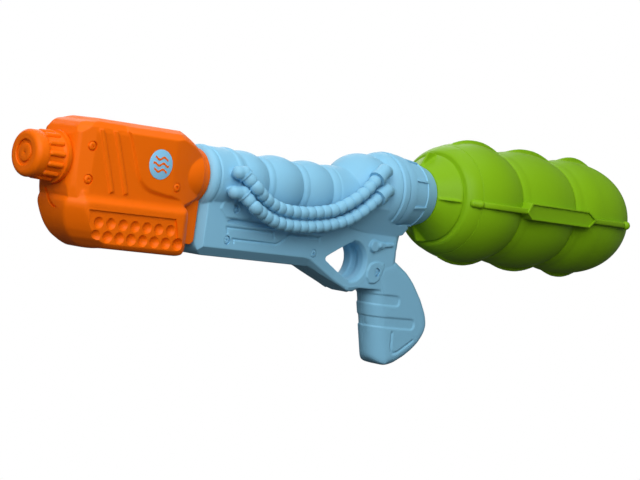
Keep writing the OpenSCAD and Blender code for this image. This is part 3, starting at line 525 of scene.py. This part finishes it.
def fore_side_cuts():
    """Cuts the sides back to the flat panel, ahead of the slanted shoulder and under it."""
    def outline(start, edge, end):
        return ([(FORE_X0 - 4, -33), (FORE_X0 - 4, 25.6), (start, 25.6)] + through(edge)
                + [(142, end), (142, -33)])

    inner = outline(76.4, [(77.3, 23.7), (83.5, 9.2), (90.0, -6.6), (95.6, -13.4), (104.7, -17.8),
                           (121.4, -20.0)], -20.8)
    outer = outline(77.6, [(78.5, 24.0), (85.0, 9.6), (91.4, -4.6), (96.8, -10.6), (105.4, -14.6),
                           (121.4, -17.0)], -17.8)
    top = [(PANEL_W, 22.6), (PANEL_W - 0.8, 26), (21.2, 30.6), (16.5, FORE_TOP - 0.2), (16, 60),
           (60, 60), (60, 22.6)]
    return [lofted("panel", inner, outer, -PANEL_W, -SHOULDER_W - 0.4),
            lofted("panel", inner, outer, PANEL_W, SHOULDER_W + 0.4),
            slab("panel_top", top, "x", 0, 76),
            slab("panel_top", [(-y, z) for y, z in top], "x", 0, 76)]


def fore_dimples():
    """Two rows of pressed pockets in each side's hand grip."""
    pockets = []
    for count, start, pitch, z, y in DIMPLES:
        for i in range(count):
            for m in (-1, 1):
                pocket = ball("pocket", (0, 0, 0), 6.2)
                pocket.data.transform(Matrix.Diagonal((0.94, 1, 0.9, 1)))
                pockets.append(moved(pocket, (start + i * pitch, m * y, z)))
    return pockets


def fore_end():
    """Both shells of the fore-end, moulded as one form and parted down the middle."""
    form = fore_upper()
    cut(form, *fore_side_cuts())
    for m in (-1, 1):
        facet = [(29, m * 18.4), (34.4, m * 21.7), (46, m * PANEL_W), (51, m * 27.4), (51, m * 40),
                 (29, m * 40)]
        cut(form, slab("corner_facet", facet, "z", LEDGE_Z - 7, 60))
    lower = moulded(fore_lower(), 1.2, 14)
    crease = [(10.0, -22.4), (7.3, -25.6), (3.2, -30.2), (-1.4, -34.2), (-9, -37.8), (-2.2, -37.6),
              (2.2, -34.6), (6.6, -30.2), (10.6, -25.6)]
    recess = [(45.5, -35.4), (131.6, -35.0), (135.2, -45.7), (136.8, -57), (134.5, -61.5), (52, -61.5),
              (48.6, -53)]
    skirt = [(FORE_X0 + 118, -15), (FORE_X1, -15), (FORE_X1, -51), (FORE_X1 - 3, -54),
             (FORE_X0 + 118, -54)]
    combine(form, [lower, slab("skirt", skirt, "y", -13, 13)])
    for x in (48.4, 62.2):
        rib = [(x, 25), (x + 3.4, 25), (x + 20.4, -20.4), (x + 17.0, -21.4)]
        combine(form, on_both_sides(rib, PANEL_W - 1, PANEL_W + 1.6))
    moulded(form, 0.62, 3)
    cut(form, *on_both_sides(recess, LEDGE_W - 1.5, REACH))
    cut(form, slab("crease", crease, "x", FORE_X0 - 6, FORE_X0 + 3))
    cut(form, *fore_dimples())
    cut(form, screw_bores(FORE_SCREWS, FORE_SEATS, 3.9),
        rod_between("badge_seat", (BADGE[0], -REACH, BADGE[1]), (BADGE[0], BADGE_SEAT, BADGE[1]),
                    BADGE_R + 0.15, 72),
        closed_spun("nose_seat", [(0, CAP_R - 2), (FORE_X0 + 0.2, CAP_R - 2)]))
    finish_shells(form, "foreend", ORANGE, "foreend")


def badge():
    """The disc let into the left side, with plain wavy lines on it."""
    x, z = BADGE
    face = -SHOULDER_W - 0.3
    disc = softened(rod_between("badge_disc", (x, face, z), (x, BADGE_SEAT, z), BADGE_R, 72), 0.3, 2)
    finish(disc, BADGE_BLUE, "foreend", ["badge"])
    waves = []
    for row in range(3):
        reach = 8.0 if row == 1 else 6.6
        middle = [(x + t * reach, z + 4.6 * (row - 1) + 1.0 * math.sin(t * reach * 0.7))
                  for t in (i / 48 * 2 - 1 for i in range(49))]
        band = [(a, b + 0.85) for a, b in middle] + [(a, b - 0.85) for a, b in reversed(middle)]
        waves.append(slab("wave", band, "y", face - 0.22, face + 0.3))
    lines = joined(waves)
    lines.name = "badge_waves"
    finish(lines, ORANGE, "foreend", ["badge"])


def screw_bores(places, seats, radius):
    """Cutters for the screws' holes, from the left side in to each head's seat."""
    return joined([rod_between("bore", (x, -REACH, z), (x, seat, z), radius)
                   for (x, z), seat in zip(places, seats)])


def screws(name, places, seats, body, material, node):
    """Pan-head screws with a cross recess, one modelled and the rest copied, heads to the left."""
    head = closed_spun("screw_head", [(0.0, 3.3), (-0.9, 3.3), (-1.4, 2.9), (-1.65, 2.1), (-1.75, 0.9)],
                       steps=40)
    recess = [(-3, -1.9), (-3, 1.9), (-1.7, 1.5), (-0.7, 0.8), (-0.7, -0.8), (-1.7, -1.5)]
    for turn in (45, 135):
        cut(head, turned(slab("cross", recess, "y", -0.42, 0.42), turn, "X"))
    turned(head, 90, "Z")
    made = [moved(copied(head, name), (x, y, z)) for (x, z), y in zip(places, seats)]
    drop(head)
    bpy.ops.object.select_all(action="DESELECT")
    for screw in made:
        screw.select_set(True)
    bpy.context.view_layer.objects.active = made[0]
    bpy.ops.object.join()
    made[0].name = name
    finish(made[0], material, body, [node])


# Body

BARREL_R, VALLEY_R = 25.5, 21.8  # the barrel's rings and the valleys between its swells
HOUSING_W, GRIP_W = 18.0, 14.5  # half-widths
HOUSING_Z = -61.5  # the housing's underside
HOLE = (346.0, -53.0)  # centre of the finger hole's round rear
HOLE_R, HOLE_TIP, TIP_R = 16.0, 36.0, 2.2


def barrel():
    """The ringed tube with its three long swells, each with a small step behind it."""
    x0, v = FORE_X1 + 0.5, VALLEY_R
    profile = ([(x0, BARREL_R - 3.6), (x0 + 0.8, BARREL_R - 2), (x0 + 2, BARREL_R - 0.8),
                (x0 + 4.2, BARREL_R + 0.4), (x0 + 7.6, BARREL_R + 0.5), (x0 + 8.4, BARREL_R - 1.1),
                (x0 + 9.4, BARREL_R - 1.1), (x0 + 10.4, BARREL_R - 0.1), (195.4, BARREL_R - 0.2),
                (196.4, BARREL_R + 0.8), (200.6, BARREL_R + 0.6), (202, BARREL_R - 1),
                (206, BARREL_R - 1.5)]
               + arc((207, BARREL_R - 1.4), (230.6, v + 0.2), 2.4, 12) + [(231.4, v - 0.6)]
               + arc((232.4, v), (237.4, v + 1.2), 0.5, 4) + [(238, v + 0.9)]
               + arc((239, v + 1.4), (269.6, v + 0.2), 3.0, 14) + [(270.4, v - 0.6)]
               + arc((271.4, v), (276.4, v + 1.2), 0.5, 4) + [(277, v + 0.9)]
               + arc((278, v + 1.4), (303.6, v + 1.2), 2.3, 12) + [(304.4, v + 0.5)]
               + arc((305.4, v + 1.2), (312, v + 2.4), 0.4, 4) + [(312.6, v + 2)]
               + [(313.6, BARREL_R - 0.9), (335, BARREL_R - 0.6)])
    return closed_spun("barrel", profile, steps=128)


def drum():
    """The larger round end round the inlet, on the tank's axis."""
    profile = (arc((327, 15), (366, 27.5), 6.5, 14) + [(366.6, 26.8)]
               + arc((367.6, 28.4), (376.4, 32.6), 0.9, 6) + [(377.2, 32.7), (377.7, 31.7)]
               + [(378.6, 31.7), (379.4, 33.4), (385.2, 33.4), (386, 32.5)])
    return closed_spun("drum", profile, TANK_Z, 128)


def finger_hole():
    """The hole for a finger: round behind, drawn out to a point in front."""
    lean = math.asin(HOLE_R / HOLE_TIP)
    tip_x = HOLE[0] - HOLE_TIP + TIP_R / math.sin(lean)
    side_angle = 90 + math.degrees(lean)
    return slab("finger_hole", corner(HOLE, HOLE_R, -side_angle, side_angle, 48)
                + corner((tip_x, HOLE[1]), TIP_R, side_angle, 360 - side_angle, 10))


def finger_rest():
    """The hole's rear wall: a wide chamfer on each side and a shallow hollow between them."""
    x, z = HOLE
    cone = [(10.5, 0), (10.5, HOLE_R - 0.2), (16, HOLE_R + 2.8), (22, HOLE_R + 2.8), (22, 0)]
    hollow = [(-4.6, HOLE_R), (-3.6, HOLE_R + 1.2), (0, HOLE_R + 1.7), (3.6, HOLE_R + 1.2),
              (4.6, HOLE_R)]
    cuts = [turned(spun("chamfer", cone), 90 * m, "Z") for m in (-1, 1)]
    cuts.append(turned(closed_spun("hollow", hollow), 90, "Z"))
    return keep(moved(joined(cuts), (x, 0, z)),
                slab("behind", [(x - 2, z - 60), (x + 60, z - 60), (x + 60, z + 60), (x - 2, z + 60)]))


# Down the grip's front, round its foot from point 10 and up its back.
GRIP_OUTLINE = [(360, -60), (366.5, -76), (373.4, -81.5), (378.8, -89.5), (383.2, -103), (386.8, -115),
                (388.2, -122), (389.2, -129), (392.4, -134.4), (398.5, -138.2), (407.5, -140.3),
                (417, -137.8), (429, -131.5), (437, -126), (445, -119), (451, -110), (453, -101.5),
                (449.6, -91.5), (441.3, -79), (428.5, -64.8), (419, -57.2), (409, -52), (404, -49)]
GRIP_FOOT = 10
GRIP_MIDDLE = (412, -98)


def edge_wedges(outline, edge, bevel):
    """Cutters that bevel both sides along an outline, the piece lying on its left."""
    cuts = []
    for (ax, az), (bx, bz) in zip(outline, outline[1:]):
        length = math.hypot(bx - ax, bz - az) + 3
        angle = math.degrees(math.atan2(bz - az, bx - ax))
        for m in (-1, 1):
            wedge = [(m * (edge - bevel - 4), -4), (m * (edge + 4), -4), (m * (edge + 4), bevel + 4)]
            wedge = slab("wedge", wedge, "x", -1.5, length - 1.5)
            cuts.append(moved(turned(wedge, -angle, "Y"), (ax, 0, az)))
    return cuts


def grip(inset=0.0):
    """The pistol grip, or one a little smaller all round that stands for the floor of its recesses."""
    width = GRIP_W + 0.5
    mid_x, mid_z = GRIP_MIDDLE
    outline = [(mid_x + (x - mid_x) * (1 - inset / 30), mid_z + (z - mid_z) * (1 - inset / 42))
               for x, z in GRIP_OUTLINE]
    rounding = slab("rounding", corner((width, 0), width - inset, 270, 90, 24)
                    + [(95, width - inset), (95, inset - width)], "z", -60, 80)
    form = keep(slab("grip", outline), moved(turned(rounding, -16, "Y"), (378.7, 0, -89.5)))
    return cut(form, *edge_wedges(outline[GRIP_FOOT:], width - inset, 5.0 - inset))


def grip_bands():
    """Cutters for the two channels that run round the grip's front and end round on its sides."""
    height, bands = 9.3, []
    for front_x, front_z, end_x, end_z in ((350, -78.8, 410.8, -78.6), (352, -97.9, 433.2, -97.7)):
        r = height / 2
        bands.append(slab("band", [(front_x, front_z)] + corner((end_x - r, end_z - r), r, 90, -90, 10)
                          + [(front_x, front_z - height + 0.6)]))
    return cut(joined(bands), grip(1.0))


def guard_slope():
    """The room above the guard's sloping and bevelled underside."""
    section = both_ways([(HOUSING_W + 1, 60), (HOUSING_W + 1, 5.5), (HOUSING_W - 6, 0), (0, -2)])
    return moved(turned(slab("slope", section, "x", -20, 90), 20.9, "Y"), (311, 0, HOUSING_Z - 5))


# The guard's run into the grip, and the neck's rear edge.
GUARD_END = [(355, HOUSING_Z - 17.6), (362, -75.6), (374, -69.5)]
NECK_BACK = [(404, -54), (401.5, -49), (400.3, -41), (401.5, -32), (404, -25)]


def frame_form():
    """The lower housing with the finger guard, the neck, the finger hole's ring and the grip."""
    x0 = FORE_X1 + 1.5
    outline = ([(x0, -10), (x0, HOUSING_Z + 10)] + corner((x0 + 10, HOUSING_Z + 10), 10, 190, 265, 6)
               + [(297, HOUSING_Z), (304, HOUSING_Z - 2.2), (311, HOUSING_Z - 5),
                  (345, HOUSING_Z - 16.6), (350, HOUSING_Z - 18.4)]
               + GUARD_END + NECK_BACK + [(404, -10)])
    plan = [(x0, 0), (x0, HOUSING_W - 6), (x0 + 4.5, HOUSING_W), (285, HOUSING_W), (326, GRIP_W),
            (460, GRIP_W), (460, 0)]
    section = [(HOUSING_W + 1, 0), (HOUSING_W + 1, HOUSING_Z + 8.5), (HOUSING_W - 7, HOUSING_Z),
               (0, HOUSING_Z)]
    housing = keep(slab("housing", outline), slab("plan", both_sides(plan), "z", -100, 100),
                   slab("section", both_ways(section), "x", 0, 305))
    x, z = HOLE
    guard = keep(slab("guard", outline), slab("plan", both_sides(plan), "z", -100, 100), guard_slope(),
                 slab("rear", [(280, -60), (x + 27, -60), (x + 27, 60), (280, 60)], "z", -400, 400))
    cut(guard, *edge_wedges([(347, HOUSING_Z - 18.4)] + GUARD_END, GRIP_W, 5.0))
    neck_plan = [(320, 0), (320, GRIP_W), (396, GRIP_W), (405, GRIP_W - 5), (405, 0)]
    neck = keep(slab("neck", [(325, -10), (325, -40), (x, -75), (404, -75)] + NECK_BACK + [(404, 0)]),
                slab("plan", both_sides(neck_plan), "z", -100, 100))
    half = GRIP_W + 0.3
    ring = closed_spun("ring", both_ways([(2 - half, 26), (0.3 - half, 22.4), (-half, 21.6)]))
    cut(moved(turned(ring, 90, "Z"), (x, 0, z)),
        slab("front", [(x - 60, -200), (x - 8, -200), (x - 8, 200), (x - 60, 200)]))
    keep(ring, guard_slope())
    side = [(332, 6), (336, -25), (386, -30), (402, -26), (404, -19), (386, -8), (386, 6)]
    section = [(26, 6), (26, -6), (GRIP_W, -28), (GRIP_W, -31)]
    cheeks = keep(slab("cheeks", side), slab("section", both_ways(section), "x", 300, 460))
    return combine(housing, [guard, neck, ring, cheeks, moulded(grip(), 1.3, 30)])


# The last of the body's screws sits in the grip.
BODY_SCREWS = ((201.5, -21.5), (197.0, -47.0), (296.0, -50.0), (376.0, -60.0))
BODY_SEATS = (2.2 - HOUSING_W,) * 3 + (1.0 - GRIP_W,)


def side_reliefs():
    """Raised forms on both sides: the pads round two screws, and the knob with its bar."""
    near = GRIP_W - 3
    pad = [(185.3, -22.4), (188.0, -15.8), (206, -13.6), (213.7, -20.5), (219.3, -26.5), (216, -29),
           (192.5, -29.2)]
    grip_pad = [(365.0, -65), (364.8, -59.5), (367.3, -54), (371.5, -51.8), (376.3, -51.2),
                (384.4, -52.6), (384.8, -55.4), (380.3, -66.3), (376, -69.5), (369, -70)]
    bar = [(371, -33.4), (382, -35), (392.4, -34.2), (392.4, -36.4), (382, -38), (374, -42)]
    forms = (on_both_sides(pad, HOUSING_W - 2, HOUSING_W + 1.1)
             + on_both_sides(grip_pad, near, GRIP_W + 1.4) + on_both_sides(bar, near, GRIP_W + 2.2))
    for form in forms:
        softened(form, 0.6, 3)
    for m in (-1, 1):
        knob = rod_between("knob", (368.6, m * near, -38), (368.6, m * (GRIP_W + 3), -38), 5.2)
        forms += [softened(knob, 1.4, 4), ball("knob_end", (373.8, m * (GRIP_W + 2), -36.8), 3.2)]
    return forms


def body_lines():
    """Lines and slots pressed into the housing's sides; behind x = 285 they follow its taper."""
    near = HOUSING_W - 1.3
    cuts = on_both_sides([(193.4, -33), (198.8, -29.8), (322, -31.6), (322, -33.8), (232, -34)],
                         HOUSING_W - 2.2, REACH)
    cuts += line_cuts([(196.6, -41.2), (195.2, -36.9), (246.2, -37.1), (248, -41)], 1.9, near)
    cuts += line_cuts([(204.6, -48.4), (203.4, -45.8), (251.4, -45.9), (256.2, -43.6), (265.2, -37.2),
                       (285, -36.9)], 1.9, near)
    lean = math.degrees(math.atan2(HOUSING_W - GRIP_W, 326 - 285))
    for m in (-1, 1):
        for (ax, az), (bx, bz) in (((284, -36.9), (301.6, -36.6)), ((301.3, -36.2), (301.6, -39.6))):
            pair = line_cuts([(ax, az), (bx, bz)], 1.9, near)
            side, other = pair if m < 0 else reversed(pair)
            drop(other)
            cuts.append(turned(side, -m * lean, "Z", (285, m * HOUSING_W, 0)))
    return cuts


def grip_lines():
    """The line round the lower panel of each side of the grip and the edge behind the screw's pad."""
    near = GRIP_W - 0.6
    return (line_cuts([(406.2, -110.8), (407.0, -123), (408.4, -126.6), (411.6, -128.4), (416, -127.2),
                       (433.5, -116.2)], 1.9, near)
            + line_cuts([(386.3, -54.4), (381.6, -66.2), (385.6, -72.0), (389.2, -78.8)], 1.0, near))


def hose_sockets():
    """Half-sunk elbows in front and ringed sleeves behind, on the left side; each hose butts on one."""
    forms, rings = [], []
    for route, length in ((UPPER_ROUTE, 6), (LOWER_ROUTE, 9)):
        points = [Vector(p) for p in route]
        leave = (points[1] - points[0]).normalized()
        arrive = (points[-1] - points[-2]).normalized()
        elbow = points[0] - 2.6 * leave
        front = elbow - Vector((length, 0, 0))
        forms += [rod_between("neck", elbow, points[0], 4.8), ball("elbow", elbow, 6.2),
                  rod_between("arm", elbow, front, 5.4), ball("arm_end", front, 5.4)]
        rings.append(rod_between("ring", points[0] - 0.9 * leave, points[0] + 0.4 * leave, 6.5))
        end = points[-1] + 12 * arrive
        forms += [rod_between("sleeve", points[-1], end, 6.3), ball("sleeve_end", end, 6.3),
                  rod_between("stem", end, end + Vector((8, 3, 0)), 5.0)]
        rings.append(rod_between("ring", points[-1], points[-1] + 3.4 * arrive, 7.1))
    return forms, rings


def body_shells():
    """Both shells of the body, moulded as one form and parted down the middle."""
    form = barrel()
    sockets, rings = hose_sockets()
    combine(form, [drum(), frame_form()] + sockets)
    cut(form, finger_hole(), finger_rest(), grip_bands(),
        closed_spun("collar_room", [(386, 33.6), (398, 33), (415, 30.5), (430, 27)], TANK_Z, 96))
    combine(form, side_reliefs())
    cut(form, joined(body_lines()), joined(grip_lines()))
    moulded(form, 0.66, 3)
    combine(form, rings)
    cut(form, screw_bores(BODY_SCREWS, BODY_SEATS, 3.7))
    finish_shells(form, "body", BLUE, "body")


# Hoses

# The same points as in part.scad.
UPPER_ROUTE = [(196.2, -30.8, 5.6), (203.2, -35, -1.2), (213, -34, -7.6), (228, -32.3, -14.3),
               (244, -31.5, -17.4), (262, -31.5, -17.7), (280, -31.5, -15.8), (298, -31.7, -12),
               (314, -32.5, -4.7), (328, -33.7, 4.8), (335.5, -33.5, 11.7), (343.5, -32, 18.3)]
LOWER_ROUTE = [(197.7, -30.7, -10.2), (204.3, -35.4, -17), (214, -34, -21.5), (228, -32.5, -26.4),
               (244, -31.8, -28.9), (262, -31.5, -29), (280, -31.5, -27.4), (298, -31.7, -24),
               (315, -32.5, -18.5), (330, -33.8, -9.5), (337.8, -34.9, -2.8), (346.3, -33.7, 3.2)]
HOSE_R, HOSE_PITCH, HOSE_GROOVE = 5.5, 8.6, 1.35  # outside radius, rib to rib, groove depth


def on_route(route, u):
    """A point on the smooth curve through the route's points; both ends run straight."""
    points = [Vector(p) for p in route]
    last = len(points) - 1
    k = min(last - 1, int(u * last))
    t = u * last - k
    p, q = points[k], points[k + 1]
    if k in (0, last - 1):
        return p + (q - p) * t

    def heading(i):
        if i == 1:
            return (points[1] - points[0]).normalized() * (points[2] - points[1]).length
        if i == last - 1:
            return ((points[last] - points[last - 1]).normalized()
                    * (points[last - 1] - points[last - 2]).length)
        return (points[i + 1] - points[i - 1]) / 2

    s = 1 - t
    return ((1 + 2 * t) * s * s * p + t * s * s * heading(k) + t * t * (3 - 2 * t) * q
            + t * t * (t - 1) * heading(k + 1))


def ribbed_hose(name, route, node):
    """A beaded tube swept along its route, its beads spaced evenly by length."""
    around, rings_per_rib, steps = 20, 8, 400
    run = [0.0]
    places = [on_route(route, i / steps) for i in range(steps + 1)]
    for a, b in zip(places, places[1:]):
        run.append(run[-1] + (b - a).length)
    ribs = round(run[-1] / HOSE_PITCH)
    rings = ribs * rings_per_rib
    points, faces, at = [], [], 0
    for j in range(rings + 1):
        length = run[-1] * j / rings
        while at < steps - 1 and run[at + 1] < length:
            at += 1
        share = (length - run[at]) / (run[at + 1] - run[at])
        centre = places[at].lerp(places[at + 1], share)
        ahead = (places[min(steps, at + 2)] - places[max(0, at - 1)]).normalized()
        first = ahead.cross(Vector((0, 1, 0))).normalized()
        second = ahead.cross(first).normalized()
        phase = j % rings_per_rib / rings_per_rib
        radius = HOSE_R - HOSE_GROOVE * (1 - math.sin(math.pi * phase) ** 0.5)
        for i in range(around):
            angle = math.tau * i / around
            points.append(centre + radius * (math.cos(angle) * first + math.sin(angle) * second))
    for j in range(rings):
        for i in range(around):
            n = (i + 1) % around
            faces.append([j * around + i, j * around + n, (j + 1) * around + n, (j + 1) * around + i])
    faces.append(list(range(around)))
    faces.append([rings * around + i for i in reversed(range(around))])
    hose = outward(new_piece(name, points, [], faces), 1e-6)
    finish(hose, BLUE, "body", [node], 70)


# Tank and collar

def collar():
    """The coupling nut with its eight small grip bars."""
    outside = [(386.4, 30.6), (386.9, 32.2), (391, 32.6), (396.4, 31.7), (397.2, 30.4), (404, 29.7),
               (412.2, 28.7), (412.8, 29.5), (418, 28), (424, 26.4), (427.4, 25.5), (428, 24.6)]
    inside = [(428, 21.4), (414.1, 21.4), (414.1, 24), (409, 24), (409, 22), (386.4, 22), (386.4, 30.6)]
    nut = spun("collar_nut", outside + inside, TANK_Z, 120)
    bars = []
    for i in range(8):
        bar = slab("bar", [(396.6, 27 + TANK_Z), (396.6, 31.9 + TANK_Z), (413.2, 29.9 + TANK_Z),
                           (413.2, 27 + TANK_Z)], "y", -1.1, 1.1)
        bars.append(turned(softened(bar, 0.35, 2), 20 + 45 * i, "X", (0, 0, TANK_Z)))
    combine(nut, bars)
    finish(nut, BLUE, "collar", ["tank_collar"])


LOBE_R, LOBE_VALLEY = 52.5, 47.4
CREASES = (519.0, 594.0)  # where the creases between the three lobes run
TAIL_X, TANK_END = 630.0, 699.5  # start of the rounded tail and its end
SEAM_X, SEAM_R = 463.0, 48.2  # the ring groove on the front lobe
OUT = LOBE_R + 4.5  # how far the side bars reach out
PLATE = [(512.5, 8.6), (517.5, 17.6), (599, 17.6), (612, 10.6), (602.5, 2.6), (520.5, 2.6)]
PLATE_FIELD = [(515.3, 8.8), (519.1, 16.2), (598.4, 16.2), (609.0, 10.6), (601.8, 4.0), (521.4, 4.0)]


def tank_profile():
    """The bottle's outline from its neck back over the three lobes."""
    rear = [(TAIL_X + (TANK_END - TAIL_X) * math.sin(math.radians(a)) ** 0.9,
             LOBE_R * max(0.0, math.cos(math.radians(a))) ** 0.8) for a in range(3, 90, 3)]
    first, second = CREASES
    return ([(409, 18), (409, 23.4), (414, 23.4), (414, 21), (428.6, 21), (428.6, 25.6)]
            + [(447.6, 38.3), (448.4, 37.7), (449.2, 38.3), (449.6, 40.6), (450.6, 42.2)]
            + arc((451.6, 43.0), (SEAM_X, SEAM_R), 0.7, 6)
            + arc((SEAM_X + 1, SEAM_R + 0.4), (first - 2.4, LOBE_VALLEY + 0.6), 4.8, 22)
            + [(first - 1.0, LOBE_VALLEY - 0.9), (first, LOBE_VALLEY - 1.1)]
            + arc((first + 1.4, LOBE_VALLEY - 0.2), (first + 9, LOBE_VALLEY + 1.4), 0.3, 5)
            + arc((first + 11, LOBE_VALLEY + 1.9), (second - 2.4, LOBE_VALLEY + 0.6), 4.0, 20)
            + [(second - 1.0, LOBE_VALLEY - 0.9), (second, LOBE_VALLEY - 1.1)]
            + arc((second + 1.4, LOBE_VALLEY - 0.2), (second + 9, LOBE_VALLEY + 1.6), 0.3, 5)
            + arc((second + 11, LOBE_VALLEY + 2.1), (TAIL_X, LOBE_R), 1.2, 8) + rear + [(TANK_END, 0)])


def tank_fins():
    """The moulding's seam along the top and the bottom, following the lobes."""
    fins = []
    for turn in (0, 180):
        for x, start, last, end, swell in ((467, 51.2, 529.6, 48.2, 6.6),
                                           (530.8, 48.2, 604.6, 48.0, 8.2),
                                           (605.8, 48.2, 668, 46.2, 9.4)):
            ridge = [(a, r + TANK_Z) for a, r in arc((x, start), (last, end), swell, 16)]
            fin = slab("fin", [(x, 40 + TANK_Z)] + ridge + [(last, 40 + TANK_Z)], "y", -1.5, 1.5)
            fins.append(turned(fin, turn, "X", (0, 0, TANK_Z)))
    return fins


def plate_field():
    """The cutter that sinks the plate's middle."""
    return slab("field", PLATE_FIELD, "y", -80, -(OUT - 0.5))


def tank():
    """The blow-moulded bottle with its shoulder gussets, side bars and bare plate."""
    form = spun("tank_shell", [(409, 0)] + tank_profile(), TANK_Z, 144)
    extras = tank_fins()
    for i in range(4):
        peak, thick = ((39.5, 1.2), (35.2, 0.7))[i % 2]
        outline = ((429, 21), (429, 27.4), (436, peak), (444, max(peak, 38.2)), (447, 38.4), (447, 30))
        gusset = slab("gusset", [(x, r + TANK_Z) for x, r in outline], "y", -thick, thick)
        extras.append(turned(gusset, 90 * i, "X", (0, 0, TANK_Z)))
    combine(form, extras)
    moulded(form, 1.0, 4)
    seam = [(SEAM_X - 0.5, 51), (SEAM_X - 0.5, SEAM_R + 0.2), (SEAM_X, SEAM_R - 0.6),
            (SEAM_X + 0.5, SEAM_R + 0.4), (SEAM_X + 0.5, 51), (SEAM_X - 0.5, 51)]
    groove = [(446.8, 39.6), (447.6, 37.2), (448.8, 36.9), (449.7, 38.8), (449.5, 41.6), (446.8, 39.6)]
    cut(form, spun("seam", seam, TANK_Z, 144), spun("shoulder_groove", groove, TANK_Z, 144))
    bars = []
    for m in (-1, 1):
        plan = [(456, m * 30), (456, m * 44.6), (463, m * 51.0), (476, m * (OUT - 1.2)),
                (490, m * OUT), (652, m * OUT), (664, m * (OUT - 5)), (664, m * 30)]
        bar = softened(slab("side_bar", plan, "z", TANK_Z - 2.6, TANK_Z + 2.6), 1.2, 3)
        if m < 0:
            cut(bar, plate_field())
        bars += [bar, *capsule("capsule", (454.4, m * 44.6, TANK_Z), (459.8, m * 48.4, TANK_Z), 3.4),
                 ball("knob", (662, m * 52.5, TANK_Z), 4.0)]
    plate = softened(slab("plate", PLATE, "y", -(OUT + 1.2), -44), 0.5, 3)
    combine(form, bars + [cut(plate, plate_field())])
    finish(form, GREEN, "tank", ["tank"])


# Pieces that stay as the CAD has them

def dress_cad_nodes():
    looks = {"nozzle_seal": RUBBER, "rod_nose": ORANGE, "piston_rod": GREY, "piston_head": RUBBER,
             "piston_seal": SEAL, "outlet_valve": RUBBER, "rod_bush": GREY, "pump_cylinder": GREY,
             "bumper_ring": RUBBER, "inlet_manifold": GREY, "inlet_flap": RUBBER, "inlet_stud": GREY,
             "tank_gasket": RUBBER, "suction_tube": GREY, "suction_filter": GREY}
    for node, material in looks.items():
        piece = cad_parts[node]
        for slot in piece.material_slots:
            slot.material = material


# Studio

SOFT_LIGHT = 0.16  # the world's own light on the toy
FLOOR_PLACE, FLOOR_SIZE = (0.35, 0, -1.2), 8
FLOOR_GLOW = 0.9  # share of plain white in the floor as the camera sees it
AIM = (0.35, 0.0, 0.0)
LAMPS = (("overhead", (0.4, 0.1, 1.7), (2.0, 1.6), 9.0),  # place, size and power
         ("camera_side", (-0.80, -1.15, 1.0), (2.4, 1.7), 45),
         ("far_side", (0.9, 1.4, 0.9), (1.8, 1.2), 12))


def show_camera(tree, unseen, seen, output):
    """Gives an output one shader for the camera's rays and another for all the rest."""
    path, mix = tree.nodes.new("ShaderNodeLightPath"), tree.nodes.new("ShaderNodeMixShader")
    tree.links.new(path.outputs["Is Camera Ray"], mix.inputs[0])
    tree.links.new(unseen.outputs[0], mix.inputs[1])
    tree.links.new(seen.outputs[0], mix.inputs[2])
    tree.links.new(mix.outputs[0], output.inputs["Surface"])


def studio_world():
    """White behind the toy, and a weaker soft light on it."""
    world = bpy.data.worlds.new("studio")
    bpy.context.scene.world = world
    world.use_nodes = True
    nodes = world.node_tree.nodes
    nodes.clear()
    output = nodes.new("ShaderNodeOutputWorld")
    light, white = nodes.new("ShaderNodeBackground"), nodes.new("ShaderNodeBackground")
    for background, strength in ((light, SOFT_LIGHT), (white, 1.0)):
        background.inputs["Color"].default_value = (1, 1, 1, 1)
        background.inputs["Strength"].default_value = strength
    show_camera(world.node_tree, light, white, output)


def lamp(name, place, size, power):
    data = bpy.data.lights.new(name, "AREA")
    data.shape = "RECTANGLE"
    data.size, data.size_y = size
    data.energy = power
    item = linked(name, data)
    turn = (Vector(AIM) - Vector(place)).to_track_quat("-Z", "Y").to_matrix().to_4x4()
    item.matrix_world = Matrix.Translation(place) @ turn


def studio_floor():
    """A plain pale floor: near white to the camera, dim to all other rays."""
    bpy.ops.object.select_all(action="DESELECT")
    bpy.ops.mesh.primitive_plane_add(size=FLOOR_SIZE, location=FLOOR_PLACE)
    floor = bpy.context.active_object
    floor.name = "floor"
    pale = bpy.data.materials.new("pale_floor")
    pale.use_nodes = True
    nodes, links = pale.node_tree.nodes, pale.node_tree.links
    shader = nodes["Principled BSDF"]
    shader.inputs["Base Color"].default_value = (0.86, 0.86, 0.86, 1)
    shader.inputs["Roughness"].default_value = 0.9
    glow, lit = nodes.new("ShaderNodeEmission"), nodes.new("ShaderNodeMixShader")
    glow.inputs["Color"].default_value = (1, 1, 1, 1)
    lit.inputs[0].default_value = FLOOR_GLOW
    dim = nodes.new("ShaderNodeBsdfDiffuse")
    dim.inputs["Color"].default_value = (0.12, 0.12, 0.12, 1)
    links.new(shader.outputs[0], lit.inputs[1])
    links.new(glow.outputs[0], lit.inputs[2])
    show_camera(pale.node_tree, dim, lit, nodes["Material Output"])
    floor.data.materials.append(pale)


add_camera()
nozzle_cap()
nozzle_insert()
fore_end()
badge()
body_shells()
screws("foreend_screw_set", FORE_SCREWS, FORE_SEATS, "foreend", ORANGE,
       "foreend_screws")
screws("body_screw_set", BODY_SCREWS, BODY_SEATS, "body", BLUE, "body_screws")
ribbed_hose("upper_hose_beads", UPPER_ROUTE, "upper_hose")
ribbed_hose("lower_hose_beads", LOWER_ROUTE, "lower_hose")
collar()
tank()
dress_cad_nodes()
studio_world()
for name, place, size, power in LAMPS:
    lamp(name, place, size, power)
studio_floor()

bpy.context.scene.view_settings.view_transform = "Standard"
